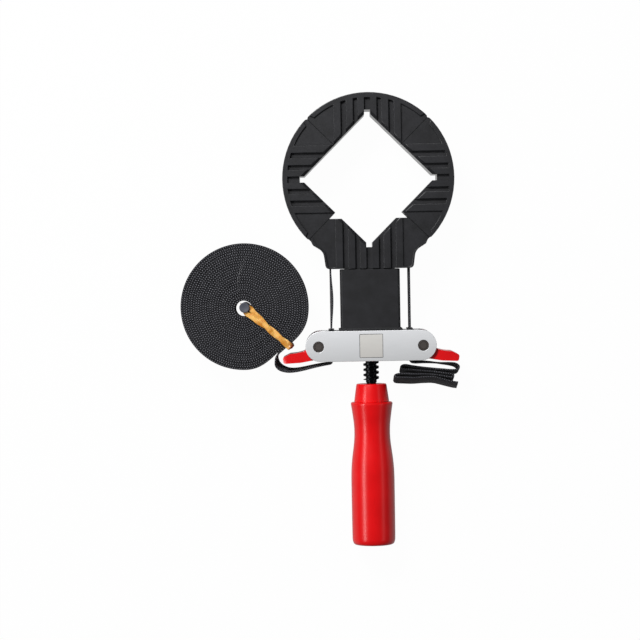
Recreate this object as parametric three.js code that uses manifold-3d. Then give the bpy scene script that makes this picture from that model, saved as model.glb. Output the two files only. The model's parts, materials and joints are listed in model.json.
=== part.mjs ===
// A band clamp for frames and odd shapes, lying on its back on the bench.
// X runs across the tool, Y along the spindle towards the ring of corners, Z up from the bench.
// The origin is on the bench, under the spindle, halfway along the tool. Lengths are millimetres.
import * as THREE from "three";
import { mergeVertices } from "three/addons/utils/BufferGeometryUtils.js";
import Module from "manifold-3d";

const wasm = await Module();
wasm.setup();

// Driving dimensions of the whole tool
const bodyDepth = 33.2; // how deep the housing and the corners are, front to back
const seatGap = 0.3; // clearance between pieces that touch or run in each other
const cutOverrun = 2; // how far a cutting shape reaches past the face it opens
const strapWidth = 25;
const strapThickness = 1.2;
const legSpread = 60; // between the two legs of the strap
const pinAcross = 79.8; // between the two lever pins
const pinHeight = 11.4; // the lever pins above the housing's lower face

// Ring of corners
const ringRadius = 65.4;
const windowHalfDiagonal = 51; // centre of the ring to where two clamping faces would meet
const reliefHalfWidth = 2.3; // groove in the root of each V
const reliefReach = 52.2; // centre of the ring to the bottom of that groove
const channelDepth = 2.2; // the strap's channel in the rim
const rimWidth = 3.8;
const recessDepth = 2.5; // grooves between the bars
const wedgeDepth = 1.4; // shallow pocket that runs out to each joint
const rimEnd = 4.6; // the rim stops this far from a joint
const rimSlant = 2.2; // and slants away to its outer edge
const edgeChamfer = 1.2; // along the clamping faces
const cornerRounding = 1.6;
const ringSteps = 80;

// Bars and grooves on the faces of a corner, from its middle out
const middleGroove = 4.8;
const firstBar = 5;
const firstGroove = 3.2;
const secondBar = 5.7;
const secondGroove = 3.7;
const thirdBar = 5.8;

// Clamping jaw, the corner that the spindle pushes
const jawReach = 68.5; // centre of the ring to the jaw's foot
const jawShoulder = 30.3; // centre of the ring to the flat tops of the jaw
const slotWall = 2.4; // wall outside the strap where it leaves the jaw
const earRounding = 2.2;
const flankRounding = 8;
const footRounding = 3;
const flankRim = 1.7; // raised edge along the jaw's flank
const earShares = [0.657, 0.768]; // outer end of the ear, as shares of ringRadius
const waistShares = [1.055, 0.262]; // hollow of the flank: of the foot's half width, from ear to foot
const slotLength = 9; // length of the closed slot that guides the strap at the jaw's foot
const tongueHeight = 8;

// Pressure block
const blockWidth = 45.6;
const blockDepth = 31;
const blockHeight = 46.6;
const blockWall = 3.2;
const blockFloor = 10;
const blockRounding = 2;
const flangeReach = 1.5;
const flangeHeight = 1.3;
const counterboreDepth = 4;

// Housing, an aluminium box section with round ends
const housingLength = 100;
const housingHeight = 23.3;
const housingWall = 2.8;
const webHalfLength = 37; // where the upper and lower walls end and the cheeks go on
const exitSlack = 0.4; // extra room each side of the strap in the lower wall

// Slot guides
const guideWall = 0.6;
const guideLip = 0.7;
const guideLipHeight = 1;

// Lever pins and springs
const pinHeadRadius = 3.85;
const pinShankRadius = 3;
const springWire = 0.9;
const springTurns = 4;
const springRoom = 0.6; // between the spring and the pin, and between the spring and its pocket

// Release levers: outline of the right hand one from its pin, as [across, along, rounding] in shares of
// leverReach
const leverReach = 27.7;
const armShares = [
  [-0.108, -0.267, 0.072], [0.148, -0.368, 0.217], [0.509, -0.43, 0.289], [0.968, -0.452, 0.055],
  [1, -0.285, 0.065], [0.79, -0.18, 0.11], [0.6, -0.165, 0.3], [0.365, -0.112, 0.217],
  [0.245, 0.094, 0.181], [0.036, 0.274, 0.144], [-0.159, 0.217, 0.108],
];
const toothSpacing = 8; // degrees between the cam's teeth
const toothFirst = -32; // first tooth, degrees from the line square to the strap
const toothCount = 8;
const toothDepth = 0.8;
const camRiseShare = 0.0055; // growth of the cam per degree, as a share of its reach

// Spindle, trapezoidal thread of 4 mm pitch, drawn at its crests
const screwShow = 17.1; // from the housing to the handle with the jaw drawn right back
const threadRadius = 6;
const shankRadius = 3.7;
const shankShow = 2.2;
const shankInHandle = 34;
const journalRadius = 4;
const washerRadius = 7;
const washerThickness = 1.5;
const ringThickness = 1;
const ringOuterRadius = 6;
const grooveDepth = 0.8;
const journalEnd = 1.6;
const chamfer = 0.5;

// Handle
const handleLength = 124.3;
const handleRadius = bodyDepth / 2;
const handleProfileShares = [ // share of the length from the spindle's end, share of the radius
  [0, 0.655], [0.007, 0.69], [0.018, 0.712], [0.108, 0.808], [0.112, 0.86], [0.118, 0.945],
  [0.127, 0.955], [0.16, 0.93], [0.205, 0.884], [0.25, 0.843], [0.29, 0.826], [0.33, 0.828],
  [0.37, 0.85], [0.42, 0.898], [0.47, 0.947], [0.53, 0.985], [0.6, 1], [0.7, 1], [0.85, 0.997],
  [0.965, 0.992], [0.985, 0.967], [0.996, 0.915], [1, 0.84],
];
const handleSides = 36;

// Coil of spare strap, held by a rubber band on a small toggle
const coilAcross = 66.4; // from the left leg of the strap to the coil's centre
const coilAlong = 42.6; // from the housing's lower face to the coil's centre
const coilRadius = 49.2;
const coilHole = 6.3;
const coilFlat = 4.8; // how far the outer turn is pressed in beside the lever
const coilFlatAngle = -49; // degrees, the middle of that flat
const coilFlatReach = 38; // degrees from there to where the turns are round again
const coilTurns = 22;
const turnSteps = 24;
const coilLift = 3.6; // the coil lies on the band and the toggle
const coilEndAngle = -50; // degrees, where the strap leaves the coil
const coilStraight = 1.5;
const toggleHeadRadius = 3.9;
const toggleShankRadius = 2.3;
const toggleHeadHeight = 1.3;
const toggleFloor = 0.2;
const toggleAcross = 1; // from the coil's centre
const toggleAlong = -0.1;
const bandWidth = 6.4;
const bandThickness = 1.5;
const bandAngle = -41; // degrees, the way the band runs across the coil
const bandFork = 11; // from the toggle to where its two strands meet
const bandStrand = 1.2;

// Routes of the free ends of the strap, chosen by hand, from where each leaves the housing: x, y and
// height of the lower edge, and how far the upper edge leans along Y and then along X
const leftTailRoute = [
  [0, 0, 4.1], [-0.2, -0.9, 4.1], [-1.2, -1.6, 4.1], [-4, -1.9, 4.1, -0.2], [-8, -2.4, 4.1, -0.4],
  [-14.9, -3.6, 4, -0.7], [-22, -5, 3.9, -1], [-28, -5.8, 3.8, -1.3, -0.3], [-33, -5.5, 3.7, -1.8, -1],
  [-37.4, -3.7, 3.6, -2.2, -2.2], [-40.2, -1.2, 3.6, -1.6, -2.6], [-41.5, 1.4, 3.6, -0.8, -1.6],
  [-41.9, 4, 3.6, -0.2, -0.6], [-41.1, 6.1, 3.6], [-39.62, 7.88, 3.6],
];
const rightTailRoute = [
  [0, 0, 4.1, 0], [0.2, -0.9, 4.1, 0], [1.2, -1.6, 4, 0], [4, -1.9, 3.7, 0], [10, -2, 3, 0.2],
  [16, -2.6, 2.3, 0.6], [23.6, -3.9, 1.5, 1.4], [30, -5, 0.8, 2.4], [34.6, -6.4, 0.4, 3.2],
  [37, -8.9, 0.3, 3.7], [36.2, -11.3, 0.3, 3.9], [32, -12, 0.3, 4], [24, -11.3, 0.3, 4],
  [16, -10.5, 0.3, 4], [8, -9.5, 0.3, 4], [1, -8.4, 0.3, 4], [-4, -7.6, 0.3, 4.1],
  [-6.9, -8.5, 0.3, 4.2], [-7, -10.4, 0.3, 4.3], [-4, -11.2, 0.3, 4.4], [2, -11.7, 0.3, 4.4],
  [10, -12.6, 0.3, 4.5], [18, -13.5, 0.3, 4.5], [26, -14.7, 0.3, 4.5], [31.2, -15.6, 0.3, 4.6],
  [33, -17, 0.3, 4.7], [31.2, -18.2, 0.3, 4.8], [26, -17.4, 0.3, 4.9], [18, -16.1, 0.3, 4.9],
  [10, -15.6, 0.3, 4.9], [2, -15.5, 0.3, 5], [-5, -15.2, 0.3, 5.1], [-10.2, -15.7, 0.3, 5.2],
  [-12.2, -17, 0.3, 5.3], [-10.6, -18.2, 0.3, 5.4], [-5, -18.6, 0.3, 5.5], [2, -18.9, 0.3, 5.5],
  [10, -18.5, 0.3, 5.5], [18, -18.6, 0.3, 5.5], [26, -20.6, 0.3, 5.4], [32, -22.2, 0.3, 5.3],
  [36.2, -22.9, 0.3, 5.3],
];

// Sizes that follow
const middle = bodyDepth / 2;
const toolLength = handleLength + screwShow + housingHeight + seatGap + blockHeight + seatGap
  + jawReach + ringRadius;
const handleEnd = -toolLength / 2;
const handleTop = handleEnd + handleLength;
const housingLow = handleTop + screwShow;
const housingTop = housingLow + housingHeight;
const blockLow = housingTop + seatGap;
const blockTop = blockLow + blockHeight;
const jawLow = blockTop + seatGap;
const ringY = jawLow + jawReach;
const legX = legSpread / 2;
const halfStrap = strapThickness / 2;
const strapLow = middle - strapWidth / 2;
const pinX = pinAcross / 2;
const pinY = housingLow + pinHeight;
const channelFloor = ringRadius - channelDepth;
const channelHeight = strapWidth + 2 * seatGap;
const strapRadius = channelFloor + seatGap + halfStrap;
const cavityHeight = bodyDepth - 2 * housingWall;
const jawFootHalf = legX + halfStrap + seatGap + slotWall;
const barEdges = [firstBar, firstGroove, secondBar, secondGroove, thirdBar].reduce(
  (edges, width) => [...edges, edges[edges.length - 1] + width], [middleGroove / 2]);
const coilX = -legX - coilAcross;
const coilY = housingLow + coilAlong;
const quarterTurn = Math.PI / 2;
const weldTolerance = 1e-4;

const radians = (degrees) => THREE.MathUtils.degToRad(degrees);

// Finishes
const finish = (color, roughness, metalness = 0) =>
  new THREE.MeshStandardMaterial({ color, roughness, metalness });
const castAluminium = finish(0xc8c9cb, 0.42, 0.9);
const blackNylon = finish(0x333335, 0.55);
const blockBlack = finish(0x29292b, 0.7);
const blackWebbing = finish(0x2c2b2d, 0.95);
const redPlastic = finish(0xd8141a, 0.35);
const redLacquer = finish(0xd0161b, 0.22);
const blackSteel = finish(0x1d1e20, 0.3, 0.8);
const greySteel = finish(0x4a4745, 0.45, 0.8);
const springSteel = finish(0x8d8f92, 0.35, 0.9);
const nutMetal = finish(0x77797c, 0.5, 0.8);
const greyPlastic = finish(0x66686c, 0.5);
const amberRubber = finish(0xd9a14e, 0.5);

// Solids for joining and cutting
function toSolid(geometry) {
  const bare = geometry.index ? geometry.toNonIndexed() : geometry.clone();
  for (const name of Object.keys(bare.attributes)) {
    if (name !== "position") bare.deleteAttribute(name);
  }
  const merged = mergeVertices(bare, weldTolerance);
  const vertProperties = merged.attributes.position.array;
  const triVerts = new Uint32Array(merged.index.array);
  return new wasm.Manifold(new wasm.Mesh({ numProp: 3, vertProperties, triVerts }));
}

function toGeometry(solid) {
  const made = solid.getMesh();
  const geometry = new THREE.BufferGeometry();
  geometry.setAttribute("position", new THREE.BufferAttribute(made.vertProperties, 3));
  geometry.setIndex(new THREE.BufferAttribute(made.triVerts, 1));
  geometry.computeVertexNormals();
  return geometry;
}

function cutAway(geometry, cutters) {
  const cut = cutters.reduce((left, cutter) => left.subtract(toSolid(cutter)), toSolid(geometry));
  return toGeometry(cut);
}

function joinUp(geometries) {
  const [first, ...others] = geometries.map(toSolid);
  return toGeometry(others.reduce((whole, piece) => whole.add(piece), first));
}

// A plate from its outline, lying between two heights
function plate(outline, low, high, hole) {
  const shape = new THREE.Shape(outline);
  if (hole) shape.holes.push(new THREE.Path(hole));
  const geometry = new THREE.ExtrudeGeometry(shape, { depth: high - low, bevelEnabled: false });
  return geometry.translate(0, 0, low);
}

function box(lowX, highX, lowY, highY, lowZ, highZ) {
  const geometry = new THREE.BoxGeometry(highX - lowX, highY - lowY, highZ - lowZ);
  return geometry.translate((lowX + highX) / 2, (lowY + highY) / 2, (lowZ + highZ) / 2);
}

function arcPoints(x, y, radius, fromAngle, toAngle, steps) {
  const points = [];
  for (let i = 0; i <= steps; i += 1) {
    const angle = fromAngle + ((toAngle - fromAngle) * i) / steps;
    points.push(new THREE.Vector2(x + radius * Math.cos(angle), y + radius * Math.sin(angle)));
  }
  return points;
}

// Rounds the corners of an outline given as [x, y, radius]
function rounded(corners, steps) {
  const points = [];
  corners.forEach(([x, y, radius = 0], i) => {
    const here = new THREE.Vector2(x, y);
    if (!radius) {
      points.push(here);
      return;
    }
    const before = corners[(i + corners.length - 1) % corners.length];
    const after = corners[(i + 1) % corners.length];
    const back = new THREE.Vector2(before[0], before[1]).sub(here).normalize();
    const on = new THREE.Vector2(after[0], after[1]).sub(here).normalize();
    const half = Math.acos(THREE.MathUtils.clamp(back.dot(on), -1, 1)) / 2;
    const centre = back.clone().add(on).normalize().multiplyScalar(radius / Math.sin(half)).add(here);
    const start = here.clone().addScaledVector(back, radius / Math.tan(half)).sub(centre);
    const end = here.clone().addScaledVector(on, radius / Math.tan(half)).sub(centre);
    const turn = Math.atan2(start.cross(end), start.dot(end));
    points.push(...arcPoints(centre.x, centre.y, radius, start.angle(), start.angle() + turn, steps));
  });
  return points;
}

const roundedBox = (halfX, halfY, radius, steps) =>
  rounded([[halfX, -halfY, radius], [halfX, halfY, radius], [-halfX, halfY, radius],
    [-halfX, -halfY, radius]], steps);

// A solid of revolution about Y, from [radius, y] points that end on the axis or close on themselves
function turned(profile, sides) {
  return new THREE.LatheGeometry(profile.map(([radius, y]) => new THREE.Vector2(radius, y)), sides);
}

// A disc or tube about Z
function roundBar(radius, low, high, sides, x = 0, y = 0) {
  const profile = [[0, low], [radius, low], [radius, high], [0, high]];
  return turned(profile, sides).rotateX(quarterTurn).translate(x, y, 0);
}

// A flat strap on edge: one ring of four points at each station, joined into one closed body.
// Each station is x, y and the height of its lower edge, and how far the upper edge leans along Y and X.
function strapAlong(route, thickness, width) {
  const rings = route.map(([x, y, low, lean = 0, leanAcross = 0], i) => {
    const before = route[Math.max(i - 1, 0)];
    const after = route[Math.min(i + 1, route.length - 1)];
    const into = new THREE.Vector2(x - before[0], y - before[1]).normalize();
    const out = new THREE.Vector2(after[0] - x, after[1] - y).normalize();
    const along = into.clone().add(out).normalize();
    const bend = i === 0 || i === route.length - 1 ? 1 : along.dot(out);
    const side = new THREE.Vector2(-along.y, along.x).multiplyScalar(thickness / 2 / bend);
    const high = low + Math.sqrt(width * width - lean * lean - leanAcross * leanAcross);
    return [
      [x + side.x, y + side.y, low], [x - side.x, y - side.y, low],
      [x - side.x + leanAcross, y - side.y + lean, high], [x + side.x + leanAcross, y + side.y + lean, high],
    ];
  });
  const corners = rings[0].length;
  const index = [];
  for (let i = 0; i + 1 < rings.length; i += 1) {
    for (let k = 0; k < corners; k += 1) {
      const a = i * corners + k;
      const b = i * corners + ((k + 1) % corners);
      index.push(a, a + corners, b, b, a + corners, b + corners);
    }
  }
  const last = (rings.length - 1) * corners;
  index.push(0, 1, 2, 0, 2, 3, last, last + 2, last + 1, last, last + 3, last + 2);
  const geometry = new THREE.BufferGeometry();
  geometry.setAttribute("position", new THREE.Float32BufferAttribute(rings.flat(2), 3));
  geometry.setIndex(index);
  geometry.computeVertexNormals();
  return geometry;
}

const tool = new THREE.Group();

function addPiece(name, geometry, material, parent = tool) {
  const mesh = new THREE.Mesh(geometry, material);
  mesh.name = name;
  parent.add(mesh);
  return mesh;
}

const mirrored = (points) => points.map(([x, y, ...rest]) => [-x, y, ...rest]).reverse();

// Ring of corners. A corner is drawn with its V opening down at the ring's centre, its rim up.
const jointOffset = (seatGap / 2) * Math.SQRT2;

const onJoint = (radius) => {
  const across = (Math.sqrt(2 * radius * radius - jointOffset * jointOffset) - jointOffset) / 2;
  return [across, across + jointOffset];
};

const vFace = [
  [0, reliefReach],
  [reliefHalfWidth, reliefReach],
  [reliefHalfWidth, windowHalfDiagonal - reliefHalfWidth],
];

function cornerOutline() {
  const rim = arcPoints(0, 0, ringRadius, quarterTurn / 2, quarterTurn, ringSteps / 8)
    .slice(1)
    .map((point) => [point.x, point.y]);
  const tip = [(windowHalfDiagonal - jointOffset) / 2, (windowHalfDiagonal + jointOffset) / 2];
  const half = [...vFace, tip, [...onJoint(ringRadius), cornerRounding], ...rim];
  const left = mirrored(half.slice(0, -1));
  return rounded([...half, ...left.slice(0, -1)], 3);
}

// The grooves between the bars, cut into both faces
function faceCuts(outline, depth) {
  const reach = bodyDepth / 2;
  return [
    plate(outline, reach - depth, reach + cutOverrun),
    plate(outline, -reach - cutOverrun, depth - reach),
  ];
}

const grooveSpans = [
  [-barEdges[0], barEdges[0]],
  [barEdges[1], barEdges[2]],
  [barEdges[3], barEdges[4]],
  [-barEdges[2], -barEdges[1]],
  [-barEdges[4], -barEdges[3]],
];

const pointsOf = (pairs) => pairs.map(([x, y]) => new THREE.Vector2(x, y));

const rimInside = ringRadius - rimWidth;
const upTo = (x) => Math.sqrt(rimInside * rimInside - x * x);

function ringGrooves() {
  return grooveSpans.flatMap(([from, to]) =>
    faceCuts(pointsOf([[from, 0], [to, 0], [to, upTo(to)], [from, upTo(from)]]), recessDepth));
}

// A pocket is open to the joint: its outline runs past the corner's own edge there
function wedgePockets(outerEdge) {
  const right = [[barEdges[5], 0], ...outerEdge];
  return [right, mirrored(right)].flatMap((points) => faceCuts(pointsOf(points), wedgeDepth));
}

function rimOfWedge() {
  const outside = ringRadius + cutOverrun;
  const past = quarterTurn / 2 + (rimEnd - rimSlant) / ringRadius;
  const from = quarterTurn / 2 + rimEnd / ringRadius;
  const to = Math.acos(barEdges[5] / rimInside);
  return [
    [outside, 0],
    [outside * Math.cos(past), outside * Math.sin(past)],
    ...arcPoints(0, 0, rimInside, from, to, 4).map((point) => [point.x, point.y]),
  ];
}

// Chamfers along the two clamping faces of a V, on the front and the back
function vChamfers() {
  const length = windowHalfDiagonal * Math.SQRT2;
  const side = edgeChamfer * Math.SQRT2;
  const foot = windowHalfDiagonal * Math.SQRT1_2;
  return [-1, 1].flatMap((face) => [-1, 1].map((turn) =>
    new THREE.BoxGeometry(length, side, side)
      .rotateX(quarterTurn / 2)
      .translate(0, foot, (face * bodyDepth) / 2)
      .rotateZ((turn * quarterTurn) / 2)));
}

function strapChannel() {
  const outside = ringRadius + cutOverrun;
  const half = channelHeight / 2;
  const profile = [[channelFloor, -half], [outside, -half], [outside, half], [channelFloor, half],
    [channelFloor, -half]];
  return turned(profile, ringSteps).rotateX(quarterTurn);
}

const cornerShape = cutAway(plate(cornerOutline(), -bodyDepth / 2, bodyDepth / 2), [
  strapChannel(),
  ...ringGrooves(),
  ...wedgePockets(rimOfWedge()),
  ...vChamfers(),
]);

const ring = new THREE.Group();
ring.position.set(0, ringY, middle);
tool.add(ring);
for (const [name, turn] of [["corner_top", 0], ["corner_left", 1], ["corner_right", -1]]) {
  addPiece(name, cornerShape.clone(), blackNylon, ring).rotation.z = turn * quarterTurn;
}

// The strap's run beside the jaw, from the last corner to the leg, in the jaw's own frame:
// the ring's centre is zero and the foot of the jaw is up
const jointPoint = [strapRadius * Math.SQRT1_2, strapRadius * Math.SQRT1_2];
const jawRun = new THREE.CubicBezierCurve(
  new THREE.Vector2(...jointPoint),
  new THREE.Vector2(jointPoint[0] - 3 * strapThickness, jointPoint[1] + 3 * strapThickness),
  new THREE.Vector2(legX, jawReach - 10 * strapThickness),
  new THREE.Vector2(legX, jawReach - strapThickness),
).getPoints(8);

const [earX, earY] = earShares.map((share) => share * ringRadius);
const [waistX, waistY] = [waistShares[0] * jawFootHalf, earY + waistShares[1] * (jawReach - earY)];

function jawOutline() {
  const half = [
    ...vFace,
    [windowHalfDiagonal - jawShoulder, jawShoulder],
    [jawShoulder - jointOffset, jawShoulder],
    [...onJoint(strapRadius), earRounding],
    [earX, earY, earRounding],
    [waistX, waistY, flankRounding],
    [jawFootHalf, jawReach, footRounding],
  ];
  return rounded([...half, ...mirrored(half).slice(0, -1)], 4);
}

function jawGrooves() {
  const foot = jawReach + cutOverrun;
  return grooveSpans.flatMap(([from, to]) =>
    faceCuts(pointsOf([[from, 0], [to, 0], [to, foot], [from, foot]]), recessDepth));
}

function flankOfWedge() {
  const inset = flankRim;
  const joint = earX + cutOverrun;
  return [
    [joint, 0],
    [joint, earX - inset],
    [earX - inset, earY - inset / 2],
    [waistX - inset, waistY + inset / 2],
    [jawFootHalf - inset, jawReach - inset],
    [barEdges[5], jawReach - inset],
  ];
}

function jawStrapCuts() {
  const room = strapThickness + 2 * seatGap;
  const low = -channelHeight / 2;
  const run = [...jawRun.map((point) => [point.x, point.y, low]), [legX, jawReach + cutOverrun, low]];
  const outside = ringRadius + cutOverrun;
  const open = jawRun.filter((point) => point.y < jawReach - slotLength)
    .map((point) => [point.x, point.y]);
  const mouth = [[jointPoint[0] - cutOverrun, jointPoint[1] - cutOverrun / 2], ...open,
    [outside, open[open.length - 1][1]], [outside, jointPoint[1] - cutOverrun]];
  return [run, run.map(([x, y, z]) => [-x, y, z])]
    .map((route) => strapAlong(route, room, channelHeight))
    .concat([mouth, mirrored(mouth)].map((points) => plate(pointsOf(points), low, -low)));
}

const tongueHalf = [blockWidth / 2 - blockWall - seatGap, blockDepth / 2 - blockWall - seatGap];
const jawTongue = box(-tongueHalf[0], tongueHalf[0], jawReach - chamfer, jawReach + tongueHeight,
  -tongueHalf[1], tongueHalf[1]);
const jawBody = cutAway(plate(jawOutline(), -bodyDepth / 2, bodyDepth / 2), [
  strapChannel(),
  ...jawGrooves(),
  ...wedgePockets(flankOfWedge()),
  ...vChamfers(),
  ...jawStrapCuts(),
]);
addPiece("clamping_jaw", joinUp([jawBody, jawTongue]), blackNylon, ring).rotation.z = Math.PI;

// Strap: one unbroken loop round the four corners, with its two legs into the housing
function loopRoute() {
  const arc = arcPoints(0, 0, strapRadius, quarterTurn, -quarterTurn / 2, (ringSteps * 3) / 8);
  const right = [
    ...arc.map((point) => [point.x, ringY + point.y, strapLow]),
    ...jawRun.slice(1).map((point) => [point.x, ringY - point.y, strapLow]),
    [legX, housingLow + seatGap, strapLow],
  ];
  return [...mirrored(right), ...right.slice(1)];
}
addPiece("strap_loop", strapAlong(loopRoute(), strapThickness, strapWidth), blackWebbing);

// Pressure block: hollow above a floor that the spindle's journal passes through
function blockShape() {
  const across = (half, depthHalf, radius, low, high) =>
    plate(roundedBox(half, depthHalf, radius, 3), low, high).rotateX(-quarterTurn)
      .translate(0, 0, middle);
  const half = blockWidth / 2;
  const depthHalf = blockDepth / 2;
  const hollowLow = blockLow + blockFloor;
  const bore = (radius, low, high) =>
    turned([[0, low], [radius, low], [radius, high], [0, high]], 24).translate(0, 0, middle);
  const whole = joinUp([
    across(half, depthHalf, blockRounding, blockLow, blockTop),
    across(half + flangeReach, middle - seatGap, blockRounding, blockLow, blockLow + flangeHeight),
  ]);
  return cutAway(whole, [
    across(half - blockWall, depthHalf - blockWall, chamfer, hollowLow, blockTop + cutOverrun),
    bore(washerRadius + seatGap, blockLow - cutOverrun, blockLow + counterboreDepth),
    bore(journalRadius + seatGap, blockLow, hollowLow + cutOverrun),
  ]);
}
addPiece("pressure_block", blockShape(), blockBlack);

// Housing
const stadium = (() => {
  const radius = housingHeight / 2;
  const centre = housingLength / 2 - radius;
  const y = housingLow + radius;
  return [
    ...arcPoints(centre, y, radius, -quarterTurn, quarterTurn, 14),
    ...arcPoints(-centre, y, radius, quarterTurn, 3 * quarterTurn, 14),
  ];
})();

function housingShape() {
  const low = middle - cavityHeight / 2;
  const high = middle + cavityHeight / 2;
  const past = housingLength / 2 + cutOverrun;
  const guideHalf = halfStrap + seatGap + guideWall + seatGap;
  const exitHalf = halfStrap + seatGap + exitSlack;
  const slotHalf = strapWidth / 2 + seatGap + guideWall / 2 + seatGap / 2;
  const cuts = [
    box(-past, past, housingLow + housingWall, housingTop - housingWall, low, high),
    turned([[0, housingLow - cutOverrun], [threadRadius + seatGap, housingLow - cutOverrun],
      [threadRadius + seatGap, housingTop + cutOverrun], [0, housingTop + cutOverrun]], 24)
      .translate(0, 0, middle),
  ];
  for (const side of [-1, 1]) {
    const inner = side * webHalfLength;
    const outer = side * past;
    cuts.push(
      box(Math.min(inner, outer), Math.max(inner, outer), housingLow - cutOverrun,
        housingTop + cutOverrun, low, high),
      box(side * legX - guideHalf, side * legX + guideHalf, housingTop - housingWall - cutOverrun,
        housingTop + cutOverrun, middle - slotHalf, middle + slotHalf),
      box(side * legX - exitHalf, side * legX + exitHalf, housingLow - cutOverrun,
        housingLow + housingWall + cutOverrun, middle - slotHalf, middle + slotHalf),
      roundBar(pinHeadRadius + seatGap, -cutOverrun, bodyDepth + cutOverrun, 24, side * pinX, pinY),
    );
  }
  return cutAway(plate(stadium, 0, bodyDepth), cuts);
}
addPiece("housing", housingShape(), castAluminium);

// Spindle nut: fills the housing between the two legs, toothed where the cams press the strap on it
function nutShape() {
  const half = legX - halfStrap - seatGap;
  const low = housingLow + housingWall + seatGap;
  const high = housingTop - housingWall - seatGap;
  const pitch = toothDepth * 2;
  const toothed = [];
  for (let y = pinY - 3 * pitch; y < pinY + 2.5 * pitch; y += pitch) {
    toothed.push([half, y], [half - toothDepth, y + pitch / 2]);
  }
  const side = [[half - toothDepth, low], [half - toothDepth, toothed[0][1] - pitch / 2], ...toothed,
    [half - toothDepth, high]];
  const outline = pointsOf([...side, ...mirrored(side)]);
  const bore = turned([[0, low - cutOverrun], [threadRadius + seatGap, low - cutOverrun],
    [threadRadius + seatGap, high + cutOverrun], [0, high + cutOverrun]], 24)
    .translate(0, 0, middle);
  const reach = cavityHeight / 2 - seatGap;
  return cutAway(plate(outline, middle - reach, middle + reach), [bore]);
}
addPiece("spindle_nut", nutShape(), nutMetal);

// What there is one of on each side of the housing
function slotGuide(side) {
  const halfX = halfStrap + seatGap + guideWall;
  const halfZ = strapWidth / 2 + seatGap + guideWall / 2 - seatGap / 2;
  const body = box(-halfX, halfX, housingTop - housingWall, housingTop + seatGap + guideLipHeight,
    -halfZ, halfZ);
  const lip = box(-halfX - guideLip, halfX + guideLip, housingTop + seatGap,
    housingTop + seatGap + guideLipHeight, -halfZ - guideLip, halfZ + guideLip);
  const room = halfStrap + seatGap;
  const roomZ = strapWidth / 2 + seatGap / 2;
  const slot = box(-room, room, housingTop - housingWall - cutOverrun,
    housingTop + guideLipHeight + cutOverrun, -roomZ, roomZ);
  return cutAway(joinUp([body, lip]), [slot]).translate(side * legX, 0, middle);
}

function leverPin(side) {
  const inner = housingWall;
  const profile = [[0, 0], [pinHeadRadius, 0], [pinHeadRadius, inner], [pinShankRadius, inner],
    [pinShankRadius, bodyDepth - inner], [pinHeadRadius, bodyDepth - inner],
    [pinHeadRadius, bodyDepth], [0, bodyDepth]];
  return turned(profile, 20).rotateX(quarterTurn).translate(side * pinX, pinY, 0);
}

const springRadius = pinShankRadius + springRoom + springWire / 2;
const springPitch = springWire * 1.5;
const springHalf = (springTurns * springPitch) / 2;

function leverSpring(side) {
  const stepsPerTurn = 8;
  const points = [];
  for (let i = 0; i <= springTurns * stepsPerTurn; i += 1) {
    const angle = side * (quarterTurn + (i / stepsPerTurn) * 4 * quarterTurn);
    const height = (i / stepsPerTurn) * springPitch - springHalf;
    points.push(new THREE.Vector3(springRadius * Math.cos(angle), springRadius * Math.sin(angle), height));
  }
  const wire = pointsOf(arcPoints(0, 0, springWire / 2, 0, 4 * quarterTurn, 5).slice(1)
    .map((point) => [point.x, point.y]));
  const geometry = new THREE.ExtrudeGeometry(new THREE.Shape(wire), {
    steps: springTurns * stepsPerTurn,
    extrudePath: new THREE.CatmullRomCurve3(points),
    bevelEnabled: false,
  });
  return geometry.translate(side * pinX, pinY, middle);
}

// The cam's reach stops one clearance short of the strap, and grows against the strap's pull
const camReach = pinX - legX - halfStrap - seatGap;

function camTeeth() {
  const angles = Array.from({ length: toothCount }, (unused, i) => toothFirst + i * toothSpacing);
  const camRise = camRiseShare * camReach;
  const base = Math.min(...angles.map((at) => camReach / Math.cos(radians(at)) - camRise * at));
  const place = (at, radius) => {
    const angle = Math.PI + radians(at);
    return [radius * Math.cos(angle), radius * Math.sin(angle)];
  };
  return angles.flatMap((at) => [
    place(at, base + camRise * at),
    place(at + toothSpacing / 2, base + camRise * at - toothDepth),
  ]);
}

function releaseLever(side) {
  const arm = armShares.map((point) => point.map((share) => share * leverReach));
  const corners = [...arm, ...camTeeth()];
  const outline = rounded(side > 0 ? corners : mirrored(corners), 4);
  const half = cavityHeight / 2 - seatGap;
  const pocket = springHalf + springWire;
  const geometry = cutAway(plate(outline, -half, half), [
    roundBar(pinShankRadius + seatGap, -half - cutOverrun, half + cutOverrun, 24),
    roundBar(springRadius + springWire / 2 + springRoom / 2, -pocket, pocket, 24),
  ]);
  return geometry.translate(side * pinX, pinY, middle);
}

for (const [word, side] of [["left", -1], ["right", 1]]) {
  addPiece(`slot_guide_${word}`, slotGuide(side), blackNylon);
  addPiece(`lever_pin_${word}`, leverPin(side), greySteel);
  addPiece(`lever_spring_${word}`, leverSpring(side), springSteel);
  addPiece(`release_lever_${word}`, releaseLever(side), redPlastic);
}

// Spindle, its thrust washer and its retaining ring
const washerTop = blockLow + counterboreDepth - seatGap;
const shoulder = washerTop - washerThickness - seatGap;
const ringLow = blockLow + blockFloor + seatGap;
const grooveLow = ringLow - seatGap;
const grooveHigh = ringLow + ringThickness + seatGap;
const grooveRadius = journalRadius - grooveDepth;

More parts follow.
